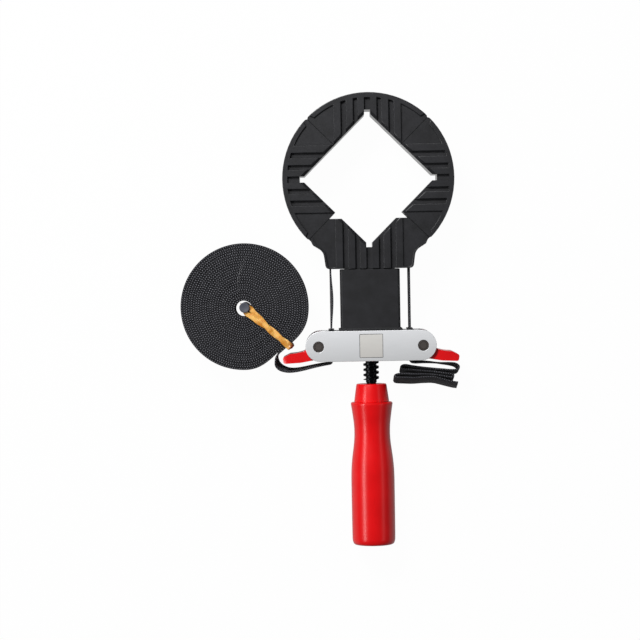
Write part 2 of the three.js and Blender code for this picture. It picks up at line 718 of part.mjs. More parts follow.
const spindleShape = turned([
  [0, handleTop - shankInHandle],
  [shankRadius, handleTop - shankInHandle],
  [shankRadius, handleTop + shankShow],
  [threadRadius, handleTop + shankShow + chamfer],
  [threadRadius, shoulder],
  [journalRadius, shoulder],
  [journalRadius, grooveLow],
  [grooveRadius, grooveLow],
  [grooveRadius, grooveHigh],
  [journalRadius, grooveHigh],
  [journalRadius, grooveHigh + journalEnd - chamfer],
  [journalRadius - chamfer, grooveHigh + journalEnd],
  [0, grooveHigh + journalEnd],
], 24);
addPiece("spindle", spindleShape, blackSteel).position.z = middle;

const flatRing = (inner, outer, low, high) =>
  turned([[inner, low], [outer, low], [outer, high], [inner, high], [inner, low]], 24);
addPiece("thrust_washer", flatRing(journalRadius + seatGap, washerRadius, washerTop - washerThickness,
  washerTop), springSteel).position.z = middle;
addPiece("retaining_ring", flatRing(grooveRadius + seatGap, ringOuterRadius, ringLow,
  ringLow + ringThickness), springSteel).position.z = middle;

// Handle, bored for the spindle's shank
function handleShape() {
  const outside = handleProfileShares.map(([share, radiusShare]) =>
    [radiusShare * handleRadius, handleTop - share * handleLength]);
  const bore = shankRadius + seatGap;
  const boreEnd = handleTop - shankInHandle - seatGap;
  const profile = [[0, handleEnd], ...outside.reverse(), [bore, handleTop], [bore, boreEnd], [0, boreEnd]];
  return turned(profile, handleSides);
}
addPiece("handle", handleShape(), redLacquer).position.z = middle;

// Free ends of the strap
addPiece("strap_tail_left", strapAlong(leftTailRoute, strapThickness, strapWidth), blackWebbing)
  .position.set(-legX, housingLow, 0);
addPiece("strap_tail_right", strapAlong(rightTailRoute, strapThickness, strapWidth), blackWebbing)
  .position.set(legX, housingLow, 0);

// Coil: one strap wound inwards at a steady rate, straight at both ends
const outerTurn = coilRadius - halfStrap;
const innerTurn = coilHole + halfStrap;
const coilPitch = (outerTurn - innerTurn) / coilTurns;

// How far a turn is pressed in at an angle, as a share of the flat's depth
function flatShare(angle) {
  const fromFlat = Math.abs(Math.atan2(
    Math.sin(angle - radians(coilFlatAngle)), Math.cos(angle - radians(coilFlatAngle))));
  return Math.cos(Math.min(fromFlat / radians(coilFlatReach), 1) * quarterTurn) ** 2;
}

const pressedIn = (radius, angle) =>
  radius - coilFlat * flatShare(angle) * ((radius - innerTurn) / (outerTurn - innerTurn));

function coilRoute() {
  const route = [];
  for (let i = 0; i <= coilTurns * turnSteps; i += 1) {
    const angle = radians(coilEndAngle) + (i / turnSteps) * 4 * quarterTurn;
    const radius = pressedIn(outerTurn - (i / turnSteps) * coilPitch, angle);
    route.push([coilX + radius * Math.cos(angle), coilY + radius * Math.sin(angle), coilLift]);
  }
  const tangent = radians(coilEndAngle) + quarterTurn;
  route.unshift([route[0][0] - coilStraight * Math.cos(tangent),
    route[0][1] - coilStraight * Math.sin(tangent), coilLift]);
  return route;
}

// Least clear distance between the coil and its next turn, from each point to the nearest stretch
function leastGap(route, thickness) {
  const point = new THREE.Vector3();
  const nearest = new THREE.Vector3();
  const stretch = new THREE.Line3();
  let least = Infinity;
  route.forEach(([x, y], i) => {
    for (let j = i + turnSteps / 2; j + 1 < route.length && j < i + turnSteps * 2; j += 1) {
      point.set(x, y, 0);
      stretch.start.set(route[j][0], route[j][1], 0);
      stretch.end.set(route[j + 1][0], route[j + 1][1], 0);
      stretch.closestPointToPoint(point, true, nearest);
      least = Math.min(least, nearest.distanceTo(point) - thickness);
    }
  });
  return least;
}

const woundRoute = coilRoute();
addPiece("strap_coil", strapAlong(woundRoute, strapThickness, strapWidth), blackWebbing);
console.log(`least gap between turns of the coil: ${leastGap(woundRoute, strapThickness).toFixed(3)} mm`);

// Toggle in the coil's hole, and the rubber band stretched from it round the coil's edge and back
const toggleX = coilX + toggleAcross;
const toggleY = coilY + toggleAlong;
const lowerBand = toggleFloor + toggleHeadHeight + seatGap;
const upperBand = coilLift + strapWidth + seatGap;
const toggleTop = upperBand + bandThickness + seatGap + toggleHeadHeight;
const toggleShape = turned([
  [0, toggleFloor],
  [toggleHeadRadius, toggleFloor],
  [toggleHeadRadius, toggleFloor + toggleHeadHeight],
  [toggleShankRadius, toggleFloor + toggleHeadHeight],
  [toggleShankRadius, toggleTop - toggleHeadHeight],
  [toggleHeadRadius, toggleTop - toggleHeadHeight],
  [toggleHeadRadius, toggleTop],
  [0, toggleTop],
], 24).rotateX(quarterTurn);
addPiece("band_toggle", toggleShape, greyPlastic).position.set(toggleX, toggleY, 0);

function bandShape() {
  const direction = radians(bandAngle);
  const along = toggleAcross * Math.cos(direction) + toggleAlong * Math.sin(direction);
  const offset = Math.hypot(toggleAcross, toggleAlong);
  const farSide = direction + Math.atan2(bandWidth / 2, coilRadius); // where the coil is fuller
  const clear = pressedIn(outerTurn, farSide) + halfStrap + seatGap;
  const edge = Math.sqrt(clear * clear - offset * offset + along * along) - along;
  const inner = toggleShankRadius + seatGap;
  const outer = inner + bandStrand;
  const half = bandWidth / 2;
  const back = (radius) => arcPoints(0, 0, radius, quarterTurn, 3 * quarterTurn, 10);
  const outline = [...back(outer), ...pointsOf([[bandFork, -half], [edge + bandThickness, -half],
    [edge + bandThickness, half], [bandFork, half]])];
  const hole = [...back(inner), ...pointsOf([[bandFork - bandWidth / 2, -half / 4],
    [bandFork - bandWidth / 2, half / 4]])];
  return joinUp([
    plate(outline, lowerBand, lowerBand + bandThickness, hole),
    plate(outline, upperBand, upperBand + bandThickness, hole),
    box(edge, edge + bandThickness, -half, half, lowerBand, upperBand + bandThickness),
  ]);
}
const rubberBand = addPiece("coil_rubber_band", bandShape(), amberRubber);
rubberBand.rotation.z = radians(bandAngle);
rubberBand.position.set(toggleX, toggleY, 0);

export default tool;
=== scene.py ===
import json
import math

import bpy
import numpy as np
from mathutils import Matrix, Vector


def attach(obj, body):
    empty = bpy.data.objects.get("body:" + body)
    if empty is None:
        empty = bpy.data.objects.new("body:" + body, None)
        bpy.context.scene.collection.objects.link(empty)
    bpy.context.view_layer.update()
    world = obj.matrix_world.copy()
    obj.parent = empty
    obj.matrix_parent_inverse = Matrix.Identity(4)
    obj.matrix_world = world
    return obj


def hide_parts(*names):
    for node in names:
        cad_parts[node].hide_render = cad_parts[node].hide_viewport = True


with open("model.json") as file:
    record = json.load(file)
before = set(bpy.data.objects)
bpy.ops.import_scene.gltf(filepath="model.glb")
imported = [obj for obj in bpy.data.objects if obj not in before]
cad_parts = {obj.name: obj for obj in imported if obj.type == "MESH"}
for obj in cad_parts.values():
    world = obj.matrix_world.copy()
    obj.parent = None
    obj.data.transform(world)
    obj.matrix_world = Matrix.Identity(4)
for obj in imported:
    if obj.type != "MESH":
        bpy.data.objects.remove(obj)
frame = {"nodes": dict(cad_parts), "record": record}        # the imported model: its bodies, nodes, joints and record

# A band clamp lying on its back: X across, Y towards the ring of corners, Z up from the bench.
scene = bpy.context.scene
scene.view_settings.view_transform = "Standard"
nodes = frame["nodes"]
record = frame["record"]
bodies = record["behaviour"]["bodies"]
bodyOf = {node: body for body, members in bodies.items() for node in members}
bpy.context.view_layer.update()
mm = 0.001

# Places that several pieces share, in millimetres as in the part's source
tool = {
    "middle": 16.6,          # height of the spindle's axis above the bench
    "front": 33.2,           # height of the housing's and the corners' upper faces
    "housingLow": -31.5,
    "housingTop": -8.2,
    "handleTop": -48.6,
    "legX": 30.0,
    "ringY": 107.5,
    "pinX": 39.9,
    "pinY": -20.1,
    "strapWidth": 25.0,
}


def addObject(name, data):
    made = bpy.data.objects.new(name, data)
    scene.collection.objects.link(made)
    return made


def selectAll():
    bpy.ops.mesh.select_all(action="SELECT")


def leaveEdit():
    bpy.ops.object.mode_set(mode="OBJECT")


# Camera and light
view = {
    "over": (-30.0, 46.0),      # the camera hangs above this point of the bench
    "height": 1800.0,
    "aim": (-38.5, 0.54, 33.2),
    "turn": 1.0,                # degrees that the tool lies turned in the picture
    "picture": 486.4,           # width of the picture in the plane of the tool's front
    "sensor": 36.0,
    "nearest": 50,
    "farthest": 20000,
}


def makeCamera():
    data = bpy.data.cameras.new("camera")
    data.sensor_width = view["sensor"]
    data.lens = view["sensor"] * (view["height"] - view["aim"][2]) / view["picture"]
    data.clip_start, data.clip_end = view["nearest"] * mm, view["farthest"] * mm
    camera = addObject("camera", data)
    place = Vector((*view["over"], view["height"])) * mm
    forward = (Vector(view["aim"]) * mm - place).normalized()
    turn = math.radians(view["turn"])
    right = forward.cross(Vector((math.sin(turn), math.cos(turn), 0))).normalized()
    axes = Matrix((right, right.cross(forward), -forward)).transposed()
    camera.matrix_world = Matrix.Translation(place) @ axes.to_4x4()
    scene.camera = camera


makeCamera()
print("camera placed")

lights = {
    "world": 0.16,
    "worldColour": "F2F5FA",
    "key": {"at": (-480, 900, 1080), "to": (-20, 0, 0), "size": (420, 420), "watts": 22.0},
    "left": {"at": (-1150, -60, 1000), "to": (-20, -60, 0), "size": (1000, 300), "watts": 8.0},
    "right": {"at": (1150, -60, 900), "to": (-20, -60, 0), "size": (1000, 260), "watts": 0.9},
    "paper": "9A9A99",          # its bounce light is held back, as by flags beside the table
    "paperSize": 6000,
    "paperWhite": 0.96,         # how far the camera sees the paper as plain white
    "paperGloss": 0.4,          # and how far gloss and glass do
    "paperGlow": 1.02,          # strength of that white
    "worldGloss": 0.0,
}


def linear(code):
    parts = [int(code[i:i + 2], 16) / 255 for i in (0, 2, 4)]
    bent = [((part + 0.055) / 1.055) ** 2.4 if part > 0.04045 else part / 12.92 for part in parts]
    return (*bent, 1.0)


def joinNodes(tree, node, links):
    # A source that is a node gives its first output in use
    for socket, source in links.items():
        if isinstance(source, bpy.types.Node):
            source = next(output for output in source.outputs if output.enabled)
        tree.links.new(source, node.inputs[socket])


def addNode(tree, kind, values=None, links=None, **settings):
    node = tree.nodes.new("ShaderNode" + kind)
    for name, value in settings.items():
        setattr(node, name, value)
    for socket, value in (values or {}).items():
        node.inputs[socket].default_value = value
    joinNodes(tree, node, links or {})
    return node


def makeLight(name):
    data = bpy.data.lights.new(name, "AREA")
    data.shape = "RECTANGLE"
    data.size, data.size_y = (side * mm for side in lights[name]["size"])
    data.energy = lights[name]["watts"]
    lamp = addObject(name, data)
    lamp.location = Vector(lights[name]["at"]) * mm
    aim = Vector(lights[name]["to"]) * mm - lamp.location
    lamp.rotation_euler = aim.to_track_quat("-Z", "Y").to_euler()


def seenRays(tree, camera, gloss):
    # How far a ray finds plain white: as told for the camera, and for gloss and glass
    path = addNode(tree, "LightPath")
    bent = addNode(tree, "Math", operation="MAXIMUM", links={
        0: path.outputs["Is Glossy Ray"], 1: path.outputs["Is Transmission Ray"]})
    shared = addNode(tree, "Math", {1: gloss}, {0: bent}, operation="MULTIPLY")
    straight = addNode(tree, "Math", {1: camera}, {0: path.outputs["Is Camera Ray"]},
                       operation="MULTIPLY")
    return addNode(tree, "Math", links={0: straight, 1: shared}, operation="MAXIMUM")


def makeStudio():
    world = bpy.data.worlds.new("studio")
    scene.world = world
    world.use_nodes = True
    tree = world.node_tree
    tree.nodes.clear()
    soft = addNode(tree, "Background", {"Color": linear(lights["worldColour"]),
                                        "Strength": lights["world"]})
    white = addNode(tree, "Background", {"Color": (1, 1, 1, 1), "Strength": 1.0})
    mixed = addNode(tree, "MixShader", links={0: seenRays(tree, 1.0, lights["worldGloss"]),
                                              1: soft, 2: white})
    addNode(tree, "OutputWorld", links={"Surface": mixed})
    for name in ("key", "left", "right"):
        makeLight(name)


def makeBench():
    bpy.ops.mesh.primitive_plane_add(size=lights["paperSize"] * mm, location=(0, 0, 0))
    bench = bpy.context.object
    bench.name = "bench"
    material = bpy.data.materials.new("whitePaper")
    material.use_nodes = True
    tree = material.node_tree
    tree.nodes.clear()
    paper = addNode(tree, "BsdfDiffuse", {"Color": linear(lights["paper"])})
    glow = addNode(tree, "Emission", {"Color": (1, 1, 1, 1), "Strength": lights["paperGlow"]})
    mixed = addNode(tree, "MixShader", links={
        0: seenRays(tree, lights["paperWhite"], lights["paperGloss"]), 1: paper, 2: glow})
    addNode(tree, "OutputMaterial", links={"Surface": mixed})
    bench.data.materials.append(material)


makeStudio()
makeBench()
print("studio made")


# Materials. Pattern sizes are in millimetres; scratches, grain and lathe lines are drawn coarser
# than real ones, so that they show.
def startMaterial(name, **values):
    material = bpy.data.materials.new(name)
    material.use_nodes = True
    tree = material.node_tree
    shader = tree.nodes["Principled BSDF"]
    for socket, value in values.items():
        shader.inputs[socket.replace("_", " ")].default_value = value
    return material, tree, addNode(tree, "TexCoord").outputs["Object"]


noiseSpread = {1: 0.3, 2: 0.7}      # a noise's values mostly lie between these


def tones(tree, noise, dark, light):
    share = addNode(tree, "MapRange", noiseSpread, {0: noise})
    return addNode(tree, "Mix", {6: linear(dark), 7: linear(light)}, {0: share}, data_type="RGBA")


def finishMaterial(material, colour, relief, depth, strength, **more):
    tree = material.node_tree
    bump = addNode(tree, "Bump", {"Distance": depth * mm, "Strength": strength},
                   {"Height": relief})
    joinNodes(tree, tree.nodes["Principled BSDF"], {"Base Color": colour, "Normal": bump, **more})
    return material


brushed = {
    "metallic": 0.35,
    "streak": 0.22,        # width of a belt's scratch
    "stretch": 50,         # and its length in such widths
    "streakTone": 0.3,     # share of the tone that the streaks change
    "paintedShadeTone": (-0.15, 0.85),      # painted shade: tone without streaks at the lower and the upper edge, darker below and paler above
    "roughness": (0.48, 0.35),      # in its dark and its pale streaks
    "depth": 0.01,
}


def brushedAluminium(name, dark, light):
    # Extruded aluminium, belt-brushed along its length: fine streaks and a soft metal sheen,
    # with painted shade that makes it paler towards its upper edge and darker towards its lower
    material, tree, at = startMaterial(name, Metallic=brushed["metallic"])
    along = addNode(tree, "Mapping", {"Scale": (1 / brushed["stretch"], 1, 1)}, {"Vector": at})
    streaks = addNode(tree, "TexNoise", {"Scale": 1 / (brushed["streak"] * mm), "Detail": 3.0},
                      {"Vector": along})
    place = addNode(tree, "SeparateXYZ", links={0: at})
    low, high = brushed["paintedShadeTone"]
    # painted shade from the housing's lower edge to its upper, standing in for light on its front
    height = addNode(tree, "MapRange", {1: tool["housingLow"] * mm, 2: tool["housingTop"] * mm,
                                        3: low, 4: high}, {0: place.outputs["Y"]}, clamp=False)
    tone = addNode(tree, "Math", {1: brushed["streakTone"]}, {0: streaks, 2: height},
                   operation="MULTIPLY_ADD", use_clamp=True)
    colour = addNode(tree, "Mix", {6: linear(dark), 7: linear(light)}, {0: tone}, data_type="RGBA")
    rough, fine = brushed["roughness"]
    gloss = addNode(tree, "MapRange", {**noiseSpread, 3: rough, 4: fine}, {0: streaks})
    return finishMaterial(material, colour, streaks, brushed["depth"], 0.4, Roughness=gloss)


moulded = {
    "cloud": 9.0,          # width of the colour's slight clouds
    "uneven": 0.15,        # share by which the roughness goes up and down
}


def mouldedPlastic(name, dark, light, roughness, grain, depth, specular=0.5):
    # Nylon or polypropylene from a steel mould: a fine grain, a soft sheen, a faintly cloudy tone
    material, tree, at = startMaterial(name, Specular_IOR_Level=specular)
    cloud = addNode(tree, "TexNoise", {"Scale": 1 / (moulded["cloud"] * mm), "Detail": 2.0},
                    {"Vector": at})
    fine = addNode(tree, "TexNoise", {"Scale": 1 / (grain * mm), "Detail": 1.0}, {"Vector": at})
    gloss = addNode(tree, "MapRange", {**noiseSpread, 3: roughness * (1 - moulded["uneven"]),
                                       4: roughness * (1 + moulded["uneven"])}, {0: fine})
    colour = tones(tree, cloud, dark, light)
    return finishMaterial(material, colour, fine, depth, 0.6, Roughness=gloss)


lathe = {
    "metallic": 0.85,
    "line": 0.3,           # width of a lathe line
    "rougher": 0.1,        # in the dark lines
    "smoother": 0.05,      # and in the light ones
    "depth": 0.02,
}


def steel(name, dark, light, roughness, stretch):
    # Turned or blackened steel: lathe lines round the piece and uneven darkening
    material, tree, at = startMaterial(name, Metallic=lathe["metallic"])
    along = addNode(tree, "Mapping", {"Scale": stretch}, {"Vector": at})
    lines = addNode(tree, "TexNoise", {"Scale": 1 / (lathe["line"] * mm), "Detail": 2.0},
                    {"Vector": along})
    gloss = addNode(tree, "MapRange", {**noiseSpread, 3: roughness + lathe["rougher"],
                                       4: roughness - lathe["smoother"]}, {0: lines})
    colour = tones(tree, lines, dark, light)
    return finishMaterial(material, colour, lines, lathe["depth"], 0.4, Roughness=gloss)


dipped = {
    "roughness": 0.28,
    "specular": 0.55,
    "ior": 1.42,
    "wave": 14.0,          # width of the waves in the lacquer
    "depth": 0.1,
}


def lacquer(name, dark, light):
    # Beech turned and dipped in lacquer: a satin clear surface with very slight waves
    material, tree, at = startMaterial(
        name, Roughness=dipped["roughness"], Specular_IOR_Level=dipped["specular"],
        IOR=dipped["ior"])
    waves = addNode(tree, "TexNoise", {"Scale": 1 / (dipped["wave"] * mm), "Detail": 1.0},
                    {"Vector": at})
    return finishMaterial(material, tones(tree, waves, dark, light), waves, dipped["depth"], 0.4)


weave = {
    "pick": 1.8,           # millimetres from one weft thread to the next
    "rows": 26,            # rows of dots round the strap
    "dotFrom": 0.15,       # where the crossed waves turn from dark to a dot
    "dotFull": 0.85,
    "dark": "0F0F11",
    # the dots' pale tone, a painted highlight on the weft threads
    "light": "7C7C82",
    "fuzz": 1.1,           # width of the spots where the painted highlight dots keep only half their light
    "depth": 0.05,
}


def webbing(name):
    # Woven polyester: each weft thread shows as a paler dot where it turns at the strap's edge;
    # the dots' paleness is a painted highlight
    material, tree, at = startMaterial(name, Roughness=0.9, Specular_IOR_Level=0.12,
                                       Sheen_Weight=0.05)
    place = addNode(tree, "SeparateXYZ", links={0: addNode(tree, "UVMap", uv_map="strapLength")})
    turns = {"X": 2 * math.pi / (weave["pick"] * mm), "Y": 2 * math.pi}
    waves = []
    for axis, rate in turns.items():
        phase = addNode(tree, "Math", {1: rate}, {0: place.outputs[axis]}, operation="MULTIPLY")
        waves.append(addNode(tree, "Math", links={0: phase}, operation="COSINE"))
    crossed = addNode(tree, "Math", links={0: waves[0], 1: waves[1]}, operation="MULTIPLY")
    # painted highlight: dots of the pale tone where the weft threads turn
    dots = addNode(tree, "MapRange", {1: weave["dotFrom"], 2: weave["dotFull"]}, {0: crossed})
    fuzz = addNode(tree, "TexNoise", {"Scale": 1 / (weave["fuzz"] * mm), "Detail": 3.0},
                   {"Vector": at})
    glintFade = addNode(tree, "MapRange", {1: 0.35, 2: 0.65, 3: 0.5, 4: 1.0}, {0: fuzz})
    share = addNode(tree, "Math", links={0: dots, 1: glintFade}, operation="MULTIPLY")
    colour = addNode(tree, "Mix", {6: linear(weave["dark"]), 7: linear(weave["light"])},
                     {0: share}, data_type="RGBA")
    return finishMaterial(material, colour, crossed, weave["depth"], 0.6)


rubber = {
    "scatter": 1.2,        # how deep light goes in
    "cloud": 5.0,
    "dark": "C9852F",
    "light": "EDBB68",
    # painted shade where the band bends down over the coil's rim
    "rimShadeColour": "8A4A1E",
    "rimShadeFrom": -64.5,    # painted shade from here across the bench, near the coil's rim
    "rimShadeTo": -60.0,
    "rimShadeShare": 0.8,
    "depth": 0.1,
}


def latex(name):
    # Natural rubber: a warm amber that lets some light in, with painted shade
    # that browns it where the band bends down over the rim
    material, tree, at = startMaterial(
        name, Roughness=0.36, Subsurface_Weight=0.2, Subsurface_Radius=(1.0, 0.45, 0.15),
        Subsurface_Scale=rubber["scatter"] * mm)
    cloud = addNode(tree, "TexNoise", {"Scale": 1 / (rubber["cloud"] * mm), "Detail": 1.0},
                    {"Vector": at})
    amber = tones(tree, cloud, rubber["dark"], rubber["light"])
    place = addNode(tree, "SeparateXYZ", links={0: at})
    # painted shade: browner towards the coil's rim, where the band turns down
    bent = addNode(tree, "MapRange", {1: rubber["rimShadeFrom"] * mm, 2: rubber["rimShadeTo"] * mm,
                                      3: 0, 4: rubber["rimShadeShare"]},
                   {0: place.outputs["X"]}, interpolation_type="SMOOTHSTEP")
    colour = addNode(tree, "Mix", {7: linear(rubber["rimShadeColour"])}, {0: bent, 6: amber},
                     data_type="RGBA")
    return finishMaterial(material, colour, cloud, rubber["depth"], 0.3)


# Plastics: dark and light tone, roughness, grain's width and depth, and specular level.
# Metals: dark and light tone, roughness, and how the lines run.
finishes = {
    "aluminium": brushedAluminium("brushedAluminium", "CDCECF", "EAEBED"),
    "etched": brushedAluminium("etchedAluminium", "CAC7C2", "E2E0DB"),
    "scribed": brushedAluminium("scribedAluminium", "7C7C7E", "8A8A8C"),
    "nylon": mouldedPlastic("glassFilledNylon", "18181A", "212124", 0.4, 0.5, 0.04, 0.45),
    "polished": mouldedPlastic("polishedNylon", "262628", "2E2E31", 0.1, 0.5, 0.0, 0.8),
    "sparked": mouldedPlastic("sparkTexturedNylon", "18181A", "222225", 0.65, 0.5, 0.06, 0.3),
    "block": mouldedPlastic("textureMouldedNylon", "161618", "1E1E21", 0.55, 0.7, 0.08, 0.3),
    "redPlastic": mouldedPlastic("redMouldedNylon", "CC0409", "DA080E", 0.28, 0.6, 0.02, 0.5),
    "lacquer": lacquer("redLacqueredBeech", "D60308", "DE060C"),
    "blackSteel": steel("blackOxideSteel", "0C0D0E", "18191B", 0.22, (1.0, 0.3, 1.0)),
    "rivet": steel("dullRivetSteel", "4A4542", "66605D", 0.5, (1.0, 1.0, 0.2)),
    "spring": steel("springSteel", "83868A", "A2A5A9", 0.32, (1.0, 1.0, 1.0)),
    "castIron": steel("castIron", "5C5E61", "76787B", 0.55, (1.0, 1.0, 1.0)),
    "toggle": mouldedPlastic("greyPolypropylene", "40424B", "4E5059", 0.5, 0.5, 0.04, 0.4),
    "webbing": webbing("wovenPolyester"),
    "latex": latex("naturalRubber"),
}
print("materials made")


# Ways to make a piece, with what they share: lengths in millimetres, angles in degrees
shaping = {
    "weld": 0.002,         # points nearer than this become one
    "nodeWeld": 0.004,     # the same in the copy of a solid
    "flat": 0.6,           # up to which the faces at an edge are one
    "sharp": 38,           # past which the edge is rounded
    "smooth": 35,          # up to which it is shaded smooth
    "near": 0.05,          # what still counts as on a plane, or along it
    "facing": 0.9,         # the least Z of a normal that looks up
}


def pick(piece):
    bpy.ops.object.select_all(action="DESELECT")
    piece.select_set(True)
    bpy.context.view_layer.objects.active = piece


def applyModifier(piece, kind, **settings):
    pick(piece)
    modifier = piece.modifiers.new(kind.title(), kind)
    for name, value in settings.items():
        setattr(modifier, name, value)
    bpy.ops.object.modifier_apply(modifier=modifier.name)


def combine(piece, other, operation="DIFFERENCE"):
    applyModifier(piece, "BOOLEAN", operation=operation, object=other, solver="EXACT")
    bpy.data.objects.remove(other)


def smooth(piece, angle=shaping["smooth"]):
    pick(piece)
    bpy.ops.object.shade_smooth_by_angle(angle=math.radians(angle))


def editAll(piece):
    pick(piece)
    bpy.ops.object.mode_set(mode="EDIT")
    selectAll()


def outward(piece):
    editAll(piece)
    bpy.ops.mesh.remove_doubles(threshold=shaping["weld"] * mm)
    bpy.ops.mesh.normals_make_consistent(inside=False)
    leaveEdit()


def dress(piece, finish, node):
    piece.data.materials.clear()
    piece.data.materials.append(finishes[finish])
    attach(piece, bodyOf[node])
    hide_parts(node)


def dressFaces(piece, finish, chosen):
    # A further finish on the faces that chosen picks by centre, normal and reach from the centre
    place = len(piece.data.materials)
    piece.data.materials.append(finishes[finish])
    for face in piece.data.polygons:
        reach = max((piece.data.vertices[end].co - face.center).length for end in face.vertices)
        if chosen(face.center / mm, face.normal, reach / mm):
            face.material_index = place


def drawCurve(name, kind, points):
    # points: x, y, height and tilt
    curve = bpy.data.curves.new(name, "CURVE")
    curve.dimensions = "3D"
    line = curve.splines.new(kind)
    line.points.add(len(points) - 1)
    for spot, (x, y, z, tilt) in zip(line.points, points):
        spot.co = (x * mm, y * mm, z * mm, 1)
        spot.tilt = tilt
    return curve, line


def meshOf(curve):
    piece = addObject(curve.name, curve)
    pick(piece)
    bpy.ops.object.convert(target="MESH")
    outward(piece)
    return piece


def copyOfNode(node, way="moulded", merge=shaping["nodeWeld"]):
    piece = addObject(f"{node}_{way}", nodes[node].data.copy())
    editAll(piece)
    bpy.ops.mesh.customdata_custom_splitnormals_clear()
    bpy.ops.mesh.remove_doubles(threshold=merge * mm)
    bpy.ops.mesh.dissolve_limited(angle_limit=math.radians(shaping["flat"]))
    leaveEdit()
    return piece


def roundEdges(piece, width, segments=2, angle=shaping["sharp"], chosen=lambda place: True):
    # Round the sharp edges whose ends are at chosen places in mm, but for those that end at an
    # edge too short to share with them
    editAll(piece)
    bpy.ops.mesh.select_mode(type="EDGE")
    bpy.ops.mesh.select_all(action="DESELECT")
    bpy.ops.mesh.edges_select_sharp(sharpness=math.radians(angle))
    leaveEdit()
    places = [vertex.co for vertex in piece.data.vertices]
    crowded = set()
    for edge in piece.data.edges:
        one, other = edge.vertices
        if (places[one] - places[other]).length < 2 * width * mm:
            crowded.update((one, other))
    for edge in piece.data.edges:
        edge.select = (edge.select and crowded.isdisjoint(edge.vertices)
                       and all(chosen(places[end] / mm) for end in edge.vertices))
    for face in piece.data.polygons:
        face.select = False      # a selected face would bring its edges back
    bpy.ops.object.mode_set(mode="EDIT")
    bpy.ops.mesh.bevel(offset=width * mm, segments=segments, affect="EDGES", clamp_overlap=False)
    bpy.ops.mesh.select_mode(type="VERT")
    leaveEdit()


def shadeFlats(piece):
    # Smooth round the softened edges, while the flat faces stay flat
    smooth(piece)
    applyModifier(piece, "WEIGHTED_NORMAL", keep_sharp=True)


def softenEdges(piece, width, segments=2, angle=shaping["sharp"]):
    roundEdges(piece, width, segments, angle)
    shadeFlats(piece)


def drawChain(name, points):
    # Left in edit mode with all selected
    bpy.ops.mesh.primitive_plane_add(size=mm, location=(0, 0, 0))
    piece = bpy.context.object
    piece.name = name
    bpy.ops.object.mode_set(mode="EDIT")
    selectAll()
    bpy.ops.mesh.merge(type="CENTER")
    bpy.ops.transform.translate(value=Vector(points[0]) * mm)
    for before, here in zip(points, points[1:]):
        step = (Vector(here) - Vector(before)) * mm
        bpy.ops.mesh.extrude_vertices_move(TRANSFORM_OT_translate={"value": step})
    selectAll()
    return piece


def turnPiece(name, profile, sides, upright=None):
    # Spin a profile of radii and places along the axis: the spindle's, or an upright one's
    x, y, middle = *(upright or (0, 0)), tool["middle"]
    piece = drawChain(name, [(x + r, y, z) if upright else (r, z, middle) for r, z in profile])
    centre, axis = ((x, y, 0), (0, 0, 1)) if upright else ((0, 0, middle), (0, 1, 0))
    bpy.ops.mesh.spin(steps=sides, angle=2 * math.pi, center=Vector(centre) * mm, axis=axis)
    leaveEdit()
    outward(piece)
    return piece


def roundThrough(points, steps):
    # Catmull-Rom through the points, so that a few chosen ones give a fair curve
    points = np.array(points, float)
    ends = np.vstack([2 * points[0] - points[1], points, 2 * points[-1] - points[-2]])
    curve = []
    for i in range(1, len(ends) - 2):
        a, b, c, d = ends[i - 1:i + 3]
        for t in np.arange(steps) / steps:
            curve.append(0.5 * (2 * b + (c - a) * t + (2 * a - 5 * b + 4 * c - d) * t ** 2
                                + (3 * b - a - 3 * c + d) * t ** 3))
    return np.vstack([curve, points[-1]])


def lengthsAlong(route):
    steps = np.linalg.norm(np.diff(route[:, :2], axis=0), axis=1)
    return np.concatenate([[0], np.cumsum(steps)])


def evenSteps(route):
    # As many points as the strap has weft threads and rooms between them
    along = lengthsAlong(route)
    count = max(2, round(along[-1] / (weave["pick"] / 2)))
    places = np.linspace(0, along[-1], count + 1)
    return np.column_stack([np.interp(places, along, route[:, k]) for k in range(route.shape[1])])


# Strap: woven webbing on edge, swept along its route with rounded selvedges
strap = {
    "thickness": 1.4,
    "woundShare": 0.985,       # share of the room between two turns of the coil that it fills
    "edge": 0.5,               # height of the rounded selvedge
    "bump": 0.07,              # how far each weft thread stands out at the edge
    "smooth": 50,
    "tailSteps": 8,            # from each point of a tail to the next
}


def strapSection():
    # Round the strap from the middle of its upper selvedge: share of the thickness, and width
    edge, width = strap["edge"], tool["strapWidth"]
    angles = [math.radians(a) for a in (90, 135, 180)]
    top = [(math.cos(a) / 2, width - edge + edge * math.sin(a)) for a in angles]
    low = [(across, width - up) for across, up in reversed(top)]
    left = top + low
    return left + [(-across, up) for across, up in reversed(left[1:-1])]


